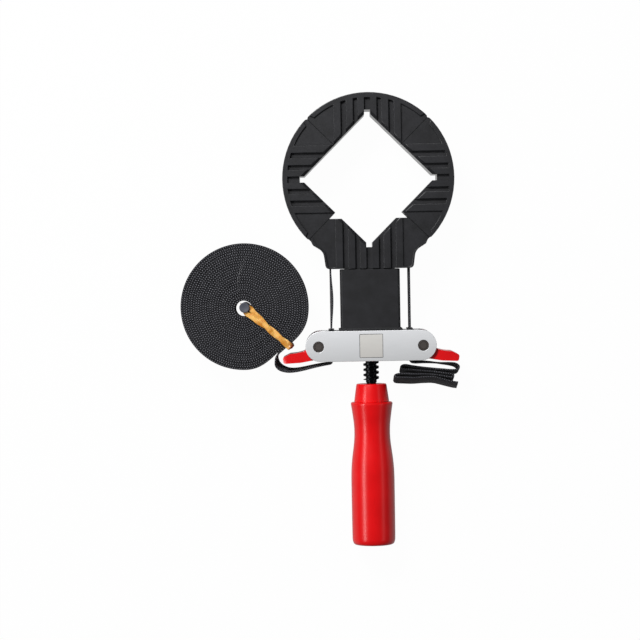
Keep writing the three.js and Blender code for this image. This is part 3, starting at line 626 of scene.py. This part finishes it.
def sweepStrap(name, route):
    # route: x, y, height of the lower edge, lean of the upper edge along Y and X, and thickness,
    # at even steps
    section = strapSection()
    width = tool["strapWidth"]
    drawn = [(share * strap["thickness"], up) for share, up in section]
    girth = np.cumsum([0] + [math.dist(a, b) for a, b in zip(drawn, drawn[1:] + drawn[:1])])
    rows = girth / girth[-1] * weave["rows"]
    along = np.gradient(route[:, :2], axis=0)
    along /= np.linalg.norm(along, axis=1)[:, None]
    vertices = []
    for i, (x, y, low, lean, leanAcross, thickness) in enumerate(route):
        tx, ty = along[i]
        rise = math.sqrt(width ** 2 - lean ** 2 - leanAcross ** 2) / width
        swell = strap["bump"] if i % 2 else 0.0
        for share, up in section:
            across, high = share * thickness, up + (swell if up > width / 2 else 0.0)
            raised = high / width
            vertices.append(((x - ty * across + leanAcross * raised) * mm,
                             (y + tx * across + lean * raised) * mm, (low + high * rise) * mm))
    count = len(section)
    faces, drawnAt = [], []
    step = lengthsAlong(route)
    for i in range(len(route) - 1):
        for k in range(count):
            after = (k + 1) % count
            faces.append((i * count + k, (i + 1) * count + k, (i + 1) * count + after,
                          i * count + after))
            drawnAt += [(step[i], rows[k]), (step[i + 1], rows[k]),
                        (step[i + 1], rows[k + 1]), (step[i], rows[k + 1])]
    last = (len(route) - 1) * count
    faces += [tuple(range(count)), tuple(last + k for k in reversed(range(count)))]
    drawnAt += [(0, rows[k]) for k in range(count)]
    drawnAt += [(step[-1], rows[k]) for k in reversed(range(count))]
    mesh = bpy.data.meshes.new(name)
    mesh.from_pydata(vertices, [], faces)
    layer = mesh.uv_layers.new(name="strapLength")
    layer.data.foreach_set("uv", (np.array(drawnAt) * (mm, 1)).ravel())
    mesh.update()
    piece = addObject(name, mesh)
    editAll(piece)
    bpy.ops.mesh.normals_make_consistent(inside=False)
    leaveEdit()
    smooth(piece, strap["smooth"])
    return piece


# The routes of the strap's free ends, as in the part's source: from where each leaves the
# housing, height of the lower edge, and lean of the upper edge along Y and X
leftTail = [
    (0, 0, 4.1), (-0.2, -0.9, 4.1), (-1.2, -1.6, 4.1), (-4, -1.9, 4.1, -0.2),
    (-8, -2.4, 4.1, -0.4), (-14.9, -3.6, 4, -0.7), (-22, -5, 3.9, -1),
    (-28, -5.8, 3.8, -1.3, -0.3), (-33, -5.5, 3.7, -1.8, -1), (-37.4, -3.7, 3.6, -2.2, -2.2),
    (-40.2, -1.2, 3.6, -1.6, -2.6), (-41.5, 1.4, 3.6, -0.8, -1.6), (-41.9, 4, 3.6, -0.2, -0.6),
    (-41.1, 6.1, 3.6), (-39.62, 7.88, 3.6),
]
rightTail = [
    (0, 0, 4.1), (0.2, -0.9, 4.1), (1.2, -1.6, 4), (4, -1.9, 3.7), (10, -2, 3, 0.2),
    (16, -2.6, 2.3, 0.6), (23.6, -3.9, 1.5, 1.4), (30, -5, 0.8, 2.4), (34.6, -6.4, 0.4, 3.2),
    (37, -8.9, 0.3, 3.7), (36.2, -11.3, 0.3, 3.9), (32, -12, 0.3, 4), (24, -11.3, 0.3, 4),
    (16, -10.5, 0.3, 4), (8, -9.5, 0.3, 4), (1, -8.4, 0.3, 4), (-4, -7.6, 0.3, 4.1),
    (-6.9, -8.5, 0.3, 4.2), (-7, -10.4, 0.3, 4.3), (-4, -11.2, 0.3, 4.4), (2, -11.7, 0.3, 4.4),
    (10, -12.6, 0.3, 4.5), (18, -13.5, 0.3, 4.5), (26, -14.7, 0.3, 4.5), (31.2, -15.6, 0.3, 4.6),
    (33, -17, 0.3, 4.7), (31.2, -18.2, 0.3, 4.8), (26, -17.4, 0.3, 4.9), (18, -16.1, 0.3, 4.9),
    (10, -15.6, 0.3, 4.9), (2, -15.5, 0.3, 5), (-5, -15.2, 0.3, 5.1), (-10.2, -15.7, 0.3, 5.2),
    (-12.2, -17, 0.3, 5.3), (-10.6, -18.2, 0.3, 5.4), (-5, -18.6, 0.3, 5.5), (2, -18.9, 0.3, 5.5),
    (10, -18.5, 0.3, 5.5), (18, -18.6, 0.3, 5.5), (26, -20.6, 0.3, 5.4), (32, -22.2, 0.3, 5.3),
    (36.2, -22.9, 0.3, 5.3),
]


def tailRoute(points, side):
    full = [(*point, 0, 0)[:5] for point in points]      # upright where no lean is told
    moved = [(x + side * tool["legX"], y + tool["housingLow"], *more, strap["thickness"])
             for x, y, *more in full]
    return evenSteps(roundThrough(moved, strap["tailSteps"]))


loop = {
    "radius": 64.1,
    "low": 4.1,
    "jawReach": 68.5,
    "lead": 3.6,           # how far the strap runs on past a joint before it bends to the leg
    "legReach": 12.0,
    "foot": 1.2,
    "end": -31.2,
    "legTop": 39.0,
    "slack": 1.3,          # how far the left leg's upper edge bows towards the block
    "arcSteps": 90,
    "bendSteps": 24,
}


def loopRoute():
    radius, leg, ringY = loop["radius"], tool["legX"], tool["ringY"]
    joint, lead, reach = radius * math.sqrt(0.5), loop["lead"], loop["jawReach"]
    arc = [(radius * math.cos(a), ringY + radius * math.sin(a))
           for a in np.radians(np.linspace(90, -45, loop["arcSteps"] + 1))]
    handles = np.array([(joint, joint), (joint - lead, joint + lead),
                        (leg, reach - loop["legReach"]), (leg, reach - loop["foot"])])
    run = []
    for t in np.linspace(0, 1, loop["bendSteps"] + 1)[1:]:
        weights = ((1 - t) ** 3, 3 * t * (1 - t) ** 2, 3 * t ** 2 * (1 - t), t ** 3)
        x, y = sum(weight * point for weight, point in zip(weights, handles))
        run.append((x, ringY - y))
    right = arc + run + [(leg, loop["end"])]
    left = [(-x, y) for x, y in reversed(right[1:])]
    points = np.array([(x, y, loop["low"], 0.0, 0.0, strap["thickness"]) for x, y in left + right])
    route = evenSteps(points)
    legFoot = tool["housingTop"]
    free = np.clip((route[:, 1] - legFoot) / (loop["legTop"] - legFoot), 0, 1)
    route[:, 4] = np.where(route[:, 0] < 0, loop["slack"] * np.sin(math.pi * free) ** 2, 0)
    return route


coil = {
    "centre": (-96.4, 11.1),
    "outer": 48.6,
    "inner": 6.35,
    "holeAside": (-0.6, -1.5),   # how far the hole's centre lies beside the coil's
    "turns": 23,
    "startAngle": -50.0,
    "flat": 4.8,           # how far the outer turn is pressed in beside the lever
    "flatAngle": -49.0,
    "flatReach": 38.0,
    "lift": 3.6,           # height of the lower edge
    "straight": 1.5,       # before the first turn
    "steps": 120,          # in a turn
    "wander": 0.12,        # uneven winding across, in so many waves a turn that come and go
    "wanderWaves": 3,
    "wanderFade": 25,
    "rise": 0.35,          # and up
    "riseWaves": 0.83,
    "riseFade": 3.1,
}


def coilRoute():
    turns = coil["turns"]
    turned = np.linspace(0, turns * 2 * math.pi, turns * coil["steps"] + 1)
    start = math.radians(coil["startAngle"])
    depth = 1 - turned / turned[-1]
    fromFlat = turned + start - math.radians(coil["flatAngle"])
    fromFlat = np.abs((fromFlat + math.pi) % (2 * math.pi) - math.pi)
    pressed = np.cos(np.minimum(fromFlat / math.radians(coil["flatReach"]), 1) * math.pi / 2) ** 2
    deep = coil["outer"] - coil["inner"]
    radius = coil["inner"] + deep * depth - coil["flat"] * pressed * depth
    asideX, asideY = coil["holeAside"]
    cos, sin = np.cos(start + turned), np.sin(start + turned)
    nearer = asideX * cos + asideY * sin
    room = (deep - coil["flat"] * pressed - nearer) / turns
    settle = np.minimum(1, np.minimum(turned, turned[-1] - turned) / math.pi)
    radius = radius + (settle * coil["wander"] * np.sin(coil["wanderWaves"] * turned)
                       * np.sin(turned / coil["wanderFade"]))
    low = coil["lift"] + (settle * coil["rise"] * np.sin(turned * coil["riseWaves"])
                          * np.sin(turned / coil["riseFade"]) ** 2)
    x = coil["centre"][0] + asideX * (1 - depth) + radius * cos
    y = coil["centre"][1] + asideY * (1 - depth) + radius * sin
    upright = np.zeros(len(x))
    route = np.column_stack([x, y, low, upright, upright, room * strap["woundShare"]])
    lead = route[0].copy()
    lead[:2] += np.array([math.sin(start), -math.cos(start)]) * coil["straight"]
    return evenSteps(np.vstack([lead, route]))


def makeStrap():
    made = {
        "strap_loop": (loopRoute(), "stretched", ["clamping_jaw", "corner_left", "corner_top"]),
        "strap_tail_left": (tailRoute(leftTail, -1), "laid", ["housing"]),
        "strap_tail_right": (tailRoute(rightTail, 1), "folded", ["housing"]),
        "strap_coil": (coilRoute(), "laid", ["coil_rubber_band"]),
    }
    for node, (route, held, carrier) in made.items():
        piece = sweepStrap(node.replace("strap_", "webbing_"), route)
        dress(piece, "webbing", node)


makeStrap()
print("strap made")


# Ring of corners and the clamping jaw, with polished faces where they clamp
corners = {
    "rimBevel": 0.55,      # roundings of the front and back outlines
    "bevelSegments": 3,
    "windowHalfDiagonal": 51.0,
    "clampFrom": 50.5,     # faces between these distances, across plus up, clamp; the farther
    "clampTo": 54.6,       # ones are in the groove at the root of each V
    "slant": 2.1,          # width of the slant between the front and the clamping faces
    "beyond": 1.0,         # how far its cutter goes on past both
    "grooveFloor": 30.7,
    "rootAside": 7.0,      # the edges beside a V's root stay sharp
    "rootReach": 60.0,
}


def slantInside(piece):
    # Cut the slant round the window with a four-sided cone
    slant, beyond, half = corners["slant"], corners["beyond"], corners["windowHalfDiagonal"]
    bpy.ops.mesh.primitive_cone_add(
        vertices=4, radius1=(half - beyond * math.sqrt(2)) * mm,
        radius2=(half + (slant + beyond) * math.sqrt(2)) * mm, depth=(slant + 2 * beyond) * mm,
        location=Vector((0, tool["ringY"], tool["front"] - slant / 2)) * mm)
    combine(piece, bpy.context.object)


def onRim(place):
    # On the front or the back, but not beside a V's root
    aside, above = abs(place.x), abs(place.y - tool["ringY"])
    atRoot = min(aside, above) < corners["rootAside"] and max(aside, above) < corners["rootReach"]
    return not atRoot and min(place.z, tool["front"] - place.z) < shaping["near"]


def clamps(centre, normal, reach):
    outwards = abs(centre.x) + abs(centre.y - tool["ringY"])
    return (abs(normal.z) < shaping["near"] and
            corners["clampFrom"] < outwards < corners["clampTo"])


def isGrooveFloor(centre, normal, reach):
    return normal.z > shaping["facing"] and abs(centre.z - corners["grooveFloor"]) < 0.1


for node in ("corner_top", "corner_left", "corner_right", "clamping_jaw"):
    corner = copyOfNode(node)
    slantInside(corner)
    roundEdges(corner, corners["rimBevel"], corners["bevelSegments"], chosen=onRim)
    shadeFlats(corner)
    dress(corner, "nylon", node)
    dressFaces(corner, "polished", clamps)
    dressFaces(corner, "sparked", isGrooveFloor)
print("corners made")

# Pressure block and slot guides
block = {"bevel": 0.5, "guideBevel": 0.15}
pressureBlock = copyOfNode("pressure_block")
softenEdges(pressureBlock, block["bevel"])
dress(pressureBlock, "block", "pressure_block")
for node in ("slot_guide_left", "slot_guide_right"):
    guide = copyOfNode(node)
    softenEdges(guide, block["guideBevel"])
    dress(guide, "nylon", node)

# Housing, with a bare square outlined by a fine groove in the middle of its front
housing = {
    "bevel": 0.35,
    "bevelSegments": 3,
    "sharp": 50,
    "square": (18.0, 18.2),
    "squareAt": (0.2, -19.8),
    "groove": 0.42,
    "grooveDepth": 0.4,
    "rounding": 0.7,       # of the square's corners
}


def inSquare(centre, margin=0.0):
    x, y = housing["squareAt"]
    width, height = housing["square"]
    return abs(centre.x - x) < width / 2 + margin and abs(centre.y - y) < height / 2 + margin


def isEtched(centre, normal, reach):
    # The front round the square has its centre there too, but reaches further
    return normal.z > shaping["facing"] and reach < housing["square"][0] and inSquare(centre)


def isScribed(centre, normal, reach):
    depth = housing["grooveDepth"]
    return depth / 4 < tool["front"] - centre.z < 2 * depth and inSquare(centre, 0.1)


def makeHousing():
    piece = copyOfNode("housing", "brushed")
    roundEdges(piece, housing["bevel"], housing["bevelSegments"], housing["sharp"])
    bpy.ops.mesh.primitive_plane_add(
        size=1, location=Vector((*housing["squareAt"], tool["front"])) * mm)
    cutter = bpy.context.object
    cutter.dimensions = Vector((*housing["square"], 0)) * mm
    bpy.ops.object.transform_apply(location=True, rotation=True, scale=True)
    bpy.ops.object.mode_set(mode="EDIT")
    selectAll()
    bpy.ops.mesh.bevel(offset=housing["rounding"] * mm, segments=4, affect="VERTICES")
    selectAll()
    bpy.ops.mesh.inset(thickness=housing["groove"] * mm)
    bpy.ops.mesh.delete(type="FACE")      # the inset leaves the inner face selected
    selectAll()
    bpy.ops.transform.translate(value=(0, 0, -housing["grooveDepth"] * mm))
    bpy.ops.mesh.extrude_region_move(
        TRANSFORM_OT_translate={"value": (0, 0, 2 * housing["grooveDepth"] * mm)})
    leaveEdit()
    outward(cutter)
    combine(piece, cutter)
    outward(piece)
    shadeFlats(piece)
    dress(piece, "aluminium", "housing")
    dressFaces(piece, "etched", isEtched)
    dressFaces(piece, "scribed", isScribed)


makeHousing()

# Lever pins: dull rivet heads with a turned ring round each face
pins = {"headRadius": 3.85, "shankRadius": 3.0, "head": 2.8, "crown": 0.35,
        "ring": 0.35, "ringDepth": 0.3, "sides": 48}


def makePin(word, side):
    radius, depth, head = pins["headRadius"], tool["front"], pins["head"]
    ring, cut, crown = pins["ring"], pins["ringDepth"], pins["crown"]
    half = [(0, 0), (radius - 4 * ring, 0), (radius - 3.5 * ring, cut), (radius - 2.5 * ring, cut),
            (radius - 2 * ring, 0), (radius - crown, 0), (radius, crown), (radius, head),
            (pins["shankRadius"], head)]
    profile = half + [(r, depth - z) for r, z in reversed(half)]
    piece = turnPiece(f"lever_pin_{word}_turned", profile, pins["sides"],
                      (side * tool["pinX"], tool["pinY"]))
    smooth(piece)
    dress(piece, "rivet", "lever_pin_" + word)


# Levers and their springs
levers = {
    "bevel": 0.5,
    "bevelSegments": 3,
    "sharp": 50,
    "merge": 0.4,          # closer corners of the outline's roundings become one
    "thumbCut": 3.4,       # the thumb end is cut at a slant, so far in from its tip
    "thumbSlope": 23.5,
    "high": 30.1,
    "cutter": 30.0,
    "wire": 0.45,          # half the thickness of the spring's wire
    "coilRadius": 4.05,
    "turns": 4,
    "pitch": 1.35,
    "steps": 24,           # in a turn of the spring
}


def cutThumbEnd(piece, side):
    reach = max(side * vertex.co.x for vertex in piece.data.vertices) / mm
    edge = Vector((side * (reach - levers["thumbCut"]), tool["housingLow"], levers["high"]))
    slope, size = side * math.radians(levers["thumbSlope"]), levers["cutter"]
    away = Vector((math.sin(slope), 0, math.cos(slope)))
    bpy.ops.mesh.primitive_cube_add(size=size * mm, location=(edge + away * size / 2) * mm,
                                    rotation=(0, slope, 0))
    combine(piece, bpy.context.object)


def makeLever(word, side):
    piece = copyOfNode("release_lever_" + word, merge=levers["merge"])
    cutThumbEnd(piece, side)
    softenEdges(piece, levers["bevel"], levers["bevelSegments"], levers["sharp"])
    dress(piece, "redPlastic", "release_lever_" + word)


def makeSpring(word, side):
    turns, steps, radius = levers["turns"], levers["steps"], levers["coilRadius"]
    points = []
    for i in range(turns * steps + 1):
        angle = side * (math.pi / 2 + i / steps * 2 * math.pi)
        height = tool["middle"] + (i / steps - turns / 2) * levers["pitch"]
        points.append((side * tool["pinX"] + radius * math.cos(angle),
                       tool["pinY"] + radius * math.sin(angle), height, 0))
    curve, line = drawCurve(f"lever_spring_{word}_wound", "POLY", points)
    curve.bevel_depth = levers["wire"] * mm
    curve.bevel_resolution = 3
    curve.use_fill_caps = True
    spring = meshOf(curve)
    smooth(spring)
    dress(spring, "spring", "lever_spring_" + word)


for word, side in (("left", -1), ("right", 1)):
    makePin(word, side)
    makeLever(word, side)
    makeSpring(word, side)
print("housing and levers made")

# Spindle: a blackened trapezoidal thread on its core
spindle = {
    "root": 4.2,
    "crest": 6.0,
    "pitch": 4.0,
    "crestWidth": 1.5,
    "rootWidth": 2.6,
    "sunk": 0.3,           # how far the ridge reaches into the core
    "sides": 64,
    "smooth": 30,
    "threadFrom": -46.4,
    "threadTo": -5.8,
    "firstTurn": -50.0,    # where the drawn helix starts, before its end is cut square
    "shankEnd": -82.6,
    "shank": 3.7,
    "journal": 4.0,
    "groove": 3.2,
    "grooveFrom": 2.1,
    "grooveTo": 3.7,
    "end": 5.3,
    "cone": 0.2,           # where it goes from shank to root, and from root to journal
    "chamfer": 0.5,
}


def makeThread():
    root, crest, first = spindle["root"], spindle["crest"], spindle["firstTurn"]
    inside, wide, narrow = root - spindle["sunk"], spindle["rootWidth"], spindle["crestWidth"]
    ridge = [(inside, 0), (root, 0), (crest, (wide - narrow) / 2), (crest, (wide + narrow) / 2),
             (root, wide), (inside, wide), (inside, 0)]
    thread = drawChain("thread", [(r, first + y, 0) for r, y in ridge])
    bpy.ops.mesh.remove_doubles(threshold=shaping["weld"] * mm)
    leaveEdit()
    turns = math.ceil((spindle["threadTo"] - first) / spindle["pitch"]) + 1
    applyModifier(thread, "SCREW", axis="Y", screw_offset=spindle["pitch"] * mm, iterations=turns,
                  steps=spindle["sides"], render_steps=spindle["sides"])
    editAll(thread)
    bpy.ops.mesh.fill_holes(sides=0)
    bpy.ops.mesh.normals_make_consistent(inside=False)
    for place, way in ((spindle["threadFrom"], -1), (spindle["threadTo"], 1)):
        selectAll()
        bpy.ops.mesh.bisect(plane_co=(0, place * mm, 0), plane_no=(0, way, 0), use_fill=True,
                            clear_outer=True)
    selectAll()
    bpy.ops.transform.translate(value=(0, 0, tool["middle"] * mm))
    leaveEdit()
    return thread


def makeSpindle():
    cone, chamfer = spindle["cone"], spindle["chamfer"]
    root, shank, journal, groove = (spindle[key] for key in ("root", "shank", "journal", "groove"))
    mouth, high, end = tool["handleTop"] + cone, spindle["threadTo"], spindle["end"]
    start, ringFrom, ringTo = (spindle[key] for key in ("shankEnd", "grooveFrom", "grooveTo"))
    profile = [(0, start), (shank, start), (shank, mouth), (root, mouth), (root, high),
               (journal, high + cone), (journal, ringFrom), (groove, ringFrom), (groove, ringTo),
               (journal, ringTo), (journal, end - chamfer), (journal - chamfer, end), (0, end)]
    core = turnPiece("spindle_threaded", profile, spindle["sides"])
    combine(core, makeThread(), "UNION")
    outward(core)
    smooth(core, spindle["smooth"])
    dress(core, "blackSteel", "spindle")


makeSpindle()

# Handle, turned in one sweep of its profile: shares of its length and of its radius
handle = {
    "length": 124.3,
    "radius": 16.6,
    "sides": 128,
    "smooth": 28,
    "bore": 4.0,
    "boreDepth": 34.3,
    "neckShares": [(0.007, 0.665), (0.01, 0.69), (0.02, 0.708), (0.066, 0.757), (0.114, 0.808),
                   (0.116, 0.79), (0.1185, 0.79), (0.12, 0.925), (0.123, 0.955), (0.129, 0.965),
                   (0.138, 0.957)],
    "gripSteps": 4,        # rounded from each of these to the next
    "gripShares": [(0.16, 0.93), (0.205, 0.884), (0.25, 0.843), (0.29, 0.826), (0.33, 0.828),
                   (0.37, 0.85), (0.42, 0.898), (0.47, 0.947), (0.53, 0.985), (0.6, 1), (0.7, 1),
                   (0.85, 0.997), (0.95, 0.992), (0.975, 0.98), (0.99, 0.945), (0.997, 0.9),
                   (1, 0.84)],
}


def makeHandle():
    top, bore = tool["handleTop"], handle["bore"]
    grip = roundThrough(handle["gripShares"], handle["gripSteps"])
    grip[:, 1] = np.minimum(grip[:, 1], 1)
    shares = [*handle["neckShares"], *grip]
    outside = [(wide * handle["radius"], top - along * handle["length"]) for along, wide in shares]
    floor, low = top - handle["boreDepth"], top - handle["length"]
    profile = [(0, floor), (bore, floor), (bore, outside[0][1]), *outside, (0, low)]
    piece = turnPiece("handle_lacquered", profile, handle["sides"])
    smooth(piece, handle["smooth"])
    dress(piece, "lacquer", "handle")


makeHandle()
print("spindle and handle made")

# Pieces inside, carried over with their own finish
for node, finish in (("spindle_nut", "castIron"), ("thrust_washer", "spring"),
                     ("retaining_ring", "spring")):
    nodes[node].data.materials.clear()
    nodes[node].data.materials.append(finishes[finish])

# Toggle in the coil's hole
toggle = {
    "at": (-95.9, 10.85),
    "head": 3.9,
    "shank": 2.3,
    "headHeight": 1.3,
    "low": 0.2,
    "top": 32.0,
    "rounding": 0.3,
    "dish": [(0, 0.35), (0.5, 0.315), (0.72, 0)],      # share of the radius, and how deep there
    "sides": 56,
    "smooth": 40,
}


def makeToggle():
    radius, height, soft = toggle["head"], toggle["headHeight"], toggle["rounding"]
    head = [(radius * share, deep) for share, deep in toggle["dish"]]
    head += [(radius - soft, 0), (radius, soft), (radius, height - soft), (radius - soft, height),
             (toggle["shank"], height)]
    profile = [(r, toggle["low"] + z) for r, z in head]
    profile += [(r, toggle["top"] - z) for r, z in reversed(head)]
    piece = turnPiece("band_toggle_moulded", profile, toggle["sides"], toggle["at"])
    smooth(piece, toggle["smooth"])
    dress(piece, "toggle", "band_toggle")


makeToggle()

# Rubber band: one closed loop, its two strands twisted together over and under the coil
band = {
    "angle": -41.6,
    "strandWidth": 3.9,
    "strandThickness": 1.2,
    "upper": 29.8,         # height of the strands' middle above and below the coil
    "lower": 2.4,
    "edge": 46.1,          # from the coil's centre to the inside of the band at its rim
    "play": 0.3,
    "rimEdge": [(1.2, 0.1), (0.25, 1.0), (0, 2.6)],      # in from the rim, and off the middle
    "rimRun": 6.0,         # the straight run down the rim starts so far off the middle
    "rimFrom": 3.2,        # and the strands don't mirror between these heights
    "rimTo": 28.0,
    "loopRadius": 2.95,
    "loopTo": 75,          # degrees at which a strand leaves the toggle
    "untilt": 2.5,         # turned flat within the fork's length divided by this
    "apart": 1.6,          # from the band's middle to a strand's, where they lie side by side
    "lift": 0.62,          # how far one passes over the other
    "underShare": 0.4,     # how much of that below the coil
    "fork": 10.5,          # from the toggle to where the strands meet
    "twist": [(10.5, 0, 1.6), (14.5, 0, 1.5), (22.6, 1, 1.0), (29.5, 2, 0.7), (36.8, 3, 0.9),
              (43.0, 4, 0.8)],      # quarter turns so far, and the strands' places, along the band
    "twistEnd": 3.0,       # so far short of the rim
    "twistSteps": 35,
    "steps": 8,            # round the toggle, and again to the fork
    "smooth": 60,
}


def bandRoute():
    # One strand's middle from the toggle to the coil's rim, with its height above the band's
    # middle and how far it is turned on edge; the other strand is its mirror image
    angle = math.radians(band["angle"])
    offset = np.array(toggle["at"]) - np.array(coil["centre"])
    along = offset @ np.array([math.cos(angle), math.sin(angle)])
    rim = math.sqrt(band["edge"] ** 2 - offset @ offset + along ** 2) - along
    rim += band["strandThickness"] / 2 + band["play"]
    onEdge, radius = math.pi / 2, band["loopRadius"]
    points = [(radius * math.cos(a), radius * math.sin(a), 0.0, onEdge)
              for a in np.radians(np.linspace(180, band["loopTo"], band["steps"] + 1))]
    start = points[-1]
    for t in np.linspace(0, 1, band["steps"] + 1)[1:]:
        ease = t * t * (3 - 2 * t)
        points.append((start[0] + (band["fork"] - start[0]) * t,
                       start[1] + (band["apart"] - start[1]) * ease, 0.0,
                       onEdge * max(0.0, 1 - band["untilt"] * t)))
    places, turned, apart = zip(*band["twist"])
    for x in np.linspace(band["fork"], rim - band["twistEnd"], band["twistSteps"] + 1)[1:]:
        turn = float(np.interp(x, places, turned)) * math.pi / 2
        points.append((x, float(np.interp(x, places, apart)) * math.cos(turn),
                       band["lift"] * math.sin(turn), 0.0))
    return points, rim


def mirrorHeight(z):
    middle = band["upper"] if z > tool["middle"] else band["lower"]
    return z if band["rimFrom"] < z < band["rimTo"] else 2 * middle - z


def bandStrands():
    points, rim = bandRoute()
    side, upper, lower, run = points[-1][1], band["upper"], band["lower"], band["rimRun"]
    one = [(x, y, upper + z, tilt) for x, y, z, tilt in points]
    one += [(rim - inwards, side, upper - off, 0) for inwards, off in band["rimEdge"]]
    one += [(rim, side, z, 0) for z in np.linspace(upper - run, lower + run, 5)]
    one += [(rim - inwards, side, lower + off, 0) for inwards, off in reversed(band["rimEdge"])]
    one += [(x, y, lower + z * band["underShare"], tilt) for x, y, z, tilt in reversed(points)]
    other = [(x, -y, mirrorHeight(z), -tilt) for x, y, z, tilt in reversed(one)]
    return one[1:] + other[1:]


def makeBand():
    angle, (startX, startY) = math.radians(band["angle"]), toggle["at"]
    cos, sin = math.cos(angle), math.sin(angle)
    curve, line = drawCurve("rubber_band_stretched", "NURBS", [
        (startX + x * cos - y * sin, startY + x * sin + y * cos, z, tilt)
        for x, y, z, tilt in bandStrands()])
    curve.twist_mode = "Z_UP"
    line.use_cyclic_u = True
    line.order_u = 3
    line.resolution_u = 3
    bpy.ops.curve.primitive_bezier_circle_add(radius=0.5, location=(0, 0, 0))
    section = bpy.context.object
    section.scale = (band["strandWidth"] * mm, band["strandThickness"] * mm, 1)
    bpy.ops.object.transform_apply(location=False, rotation=False, scale=True)
    section.data.resolution_u = 4
    curve.bevel_mode = "OBJECT"
    curve.bevel_object = section
    piece = meshOf(curve)
    bpy.data.objects.remove(section)
    smooth(piece, band["smooth"])
    dress(piece, "latex", "coil_rubber_band")


makeBand()
print("toggle and rubber band made")
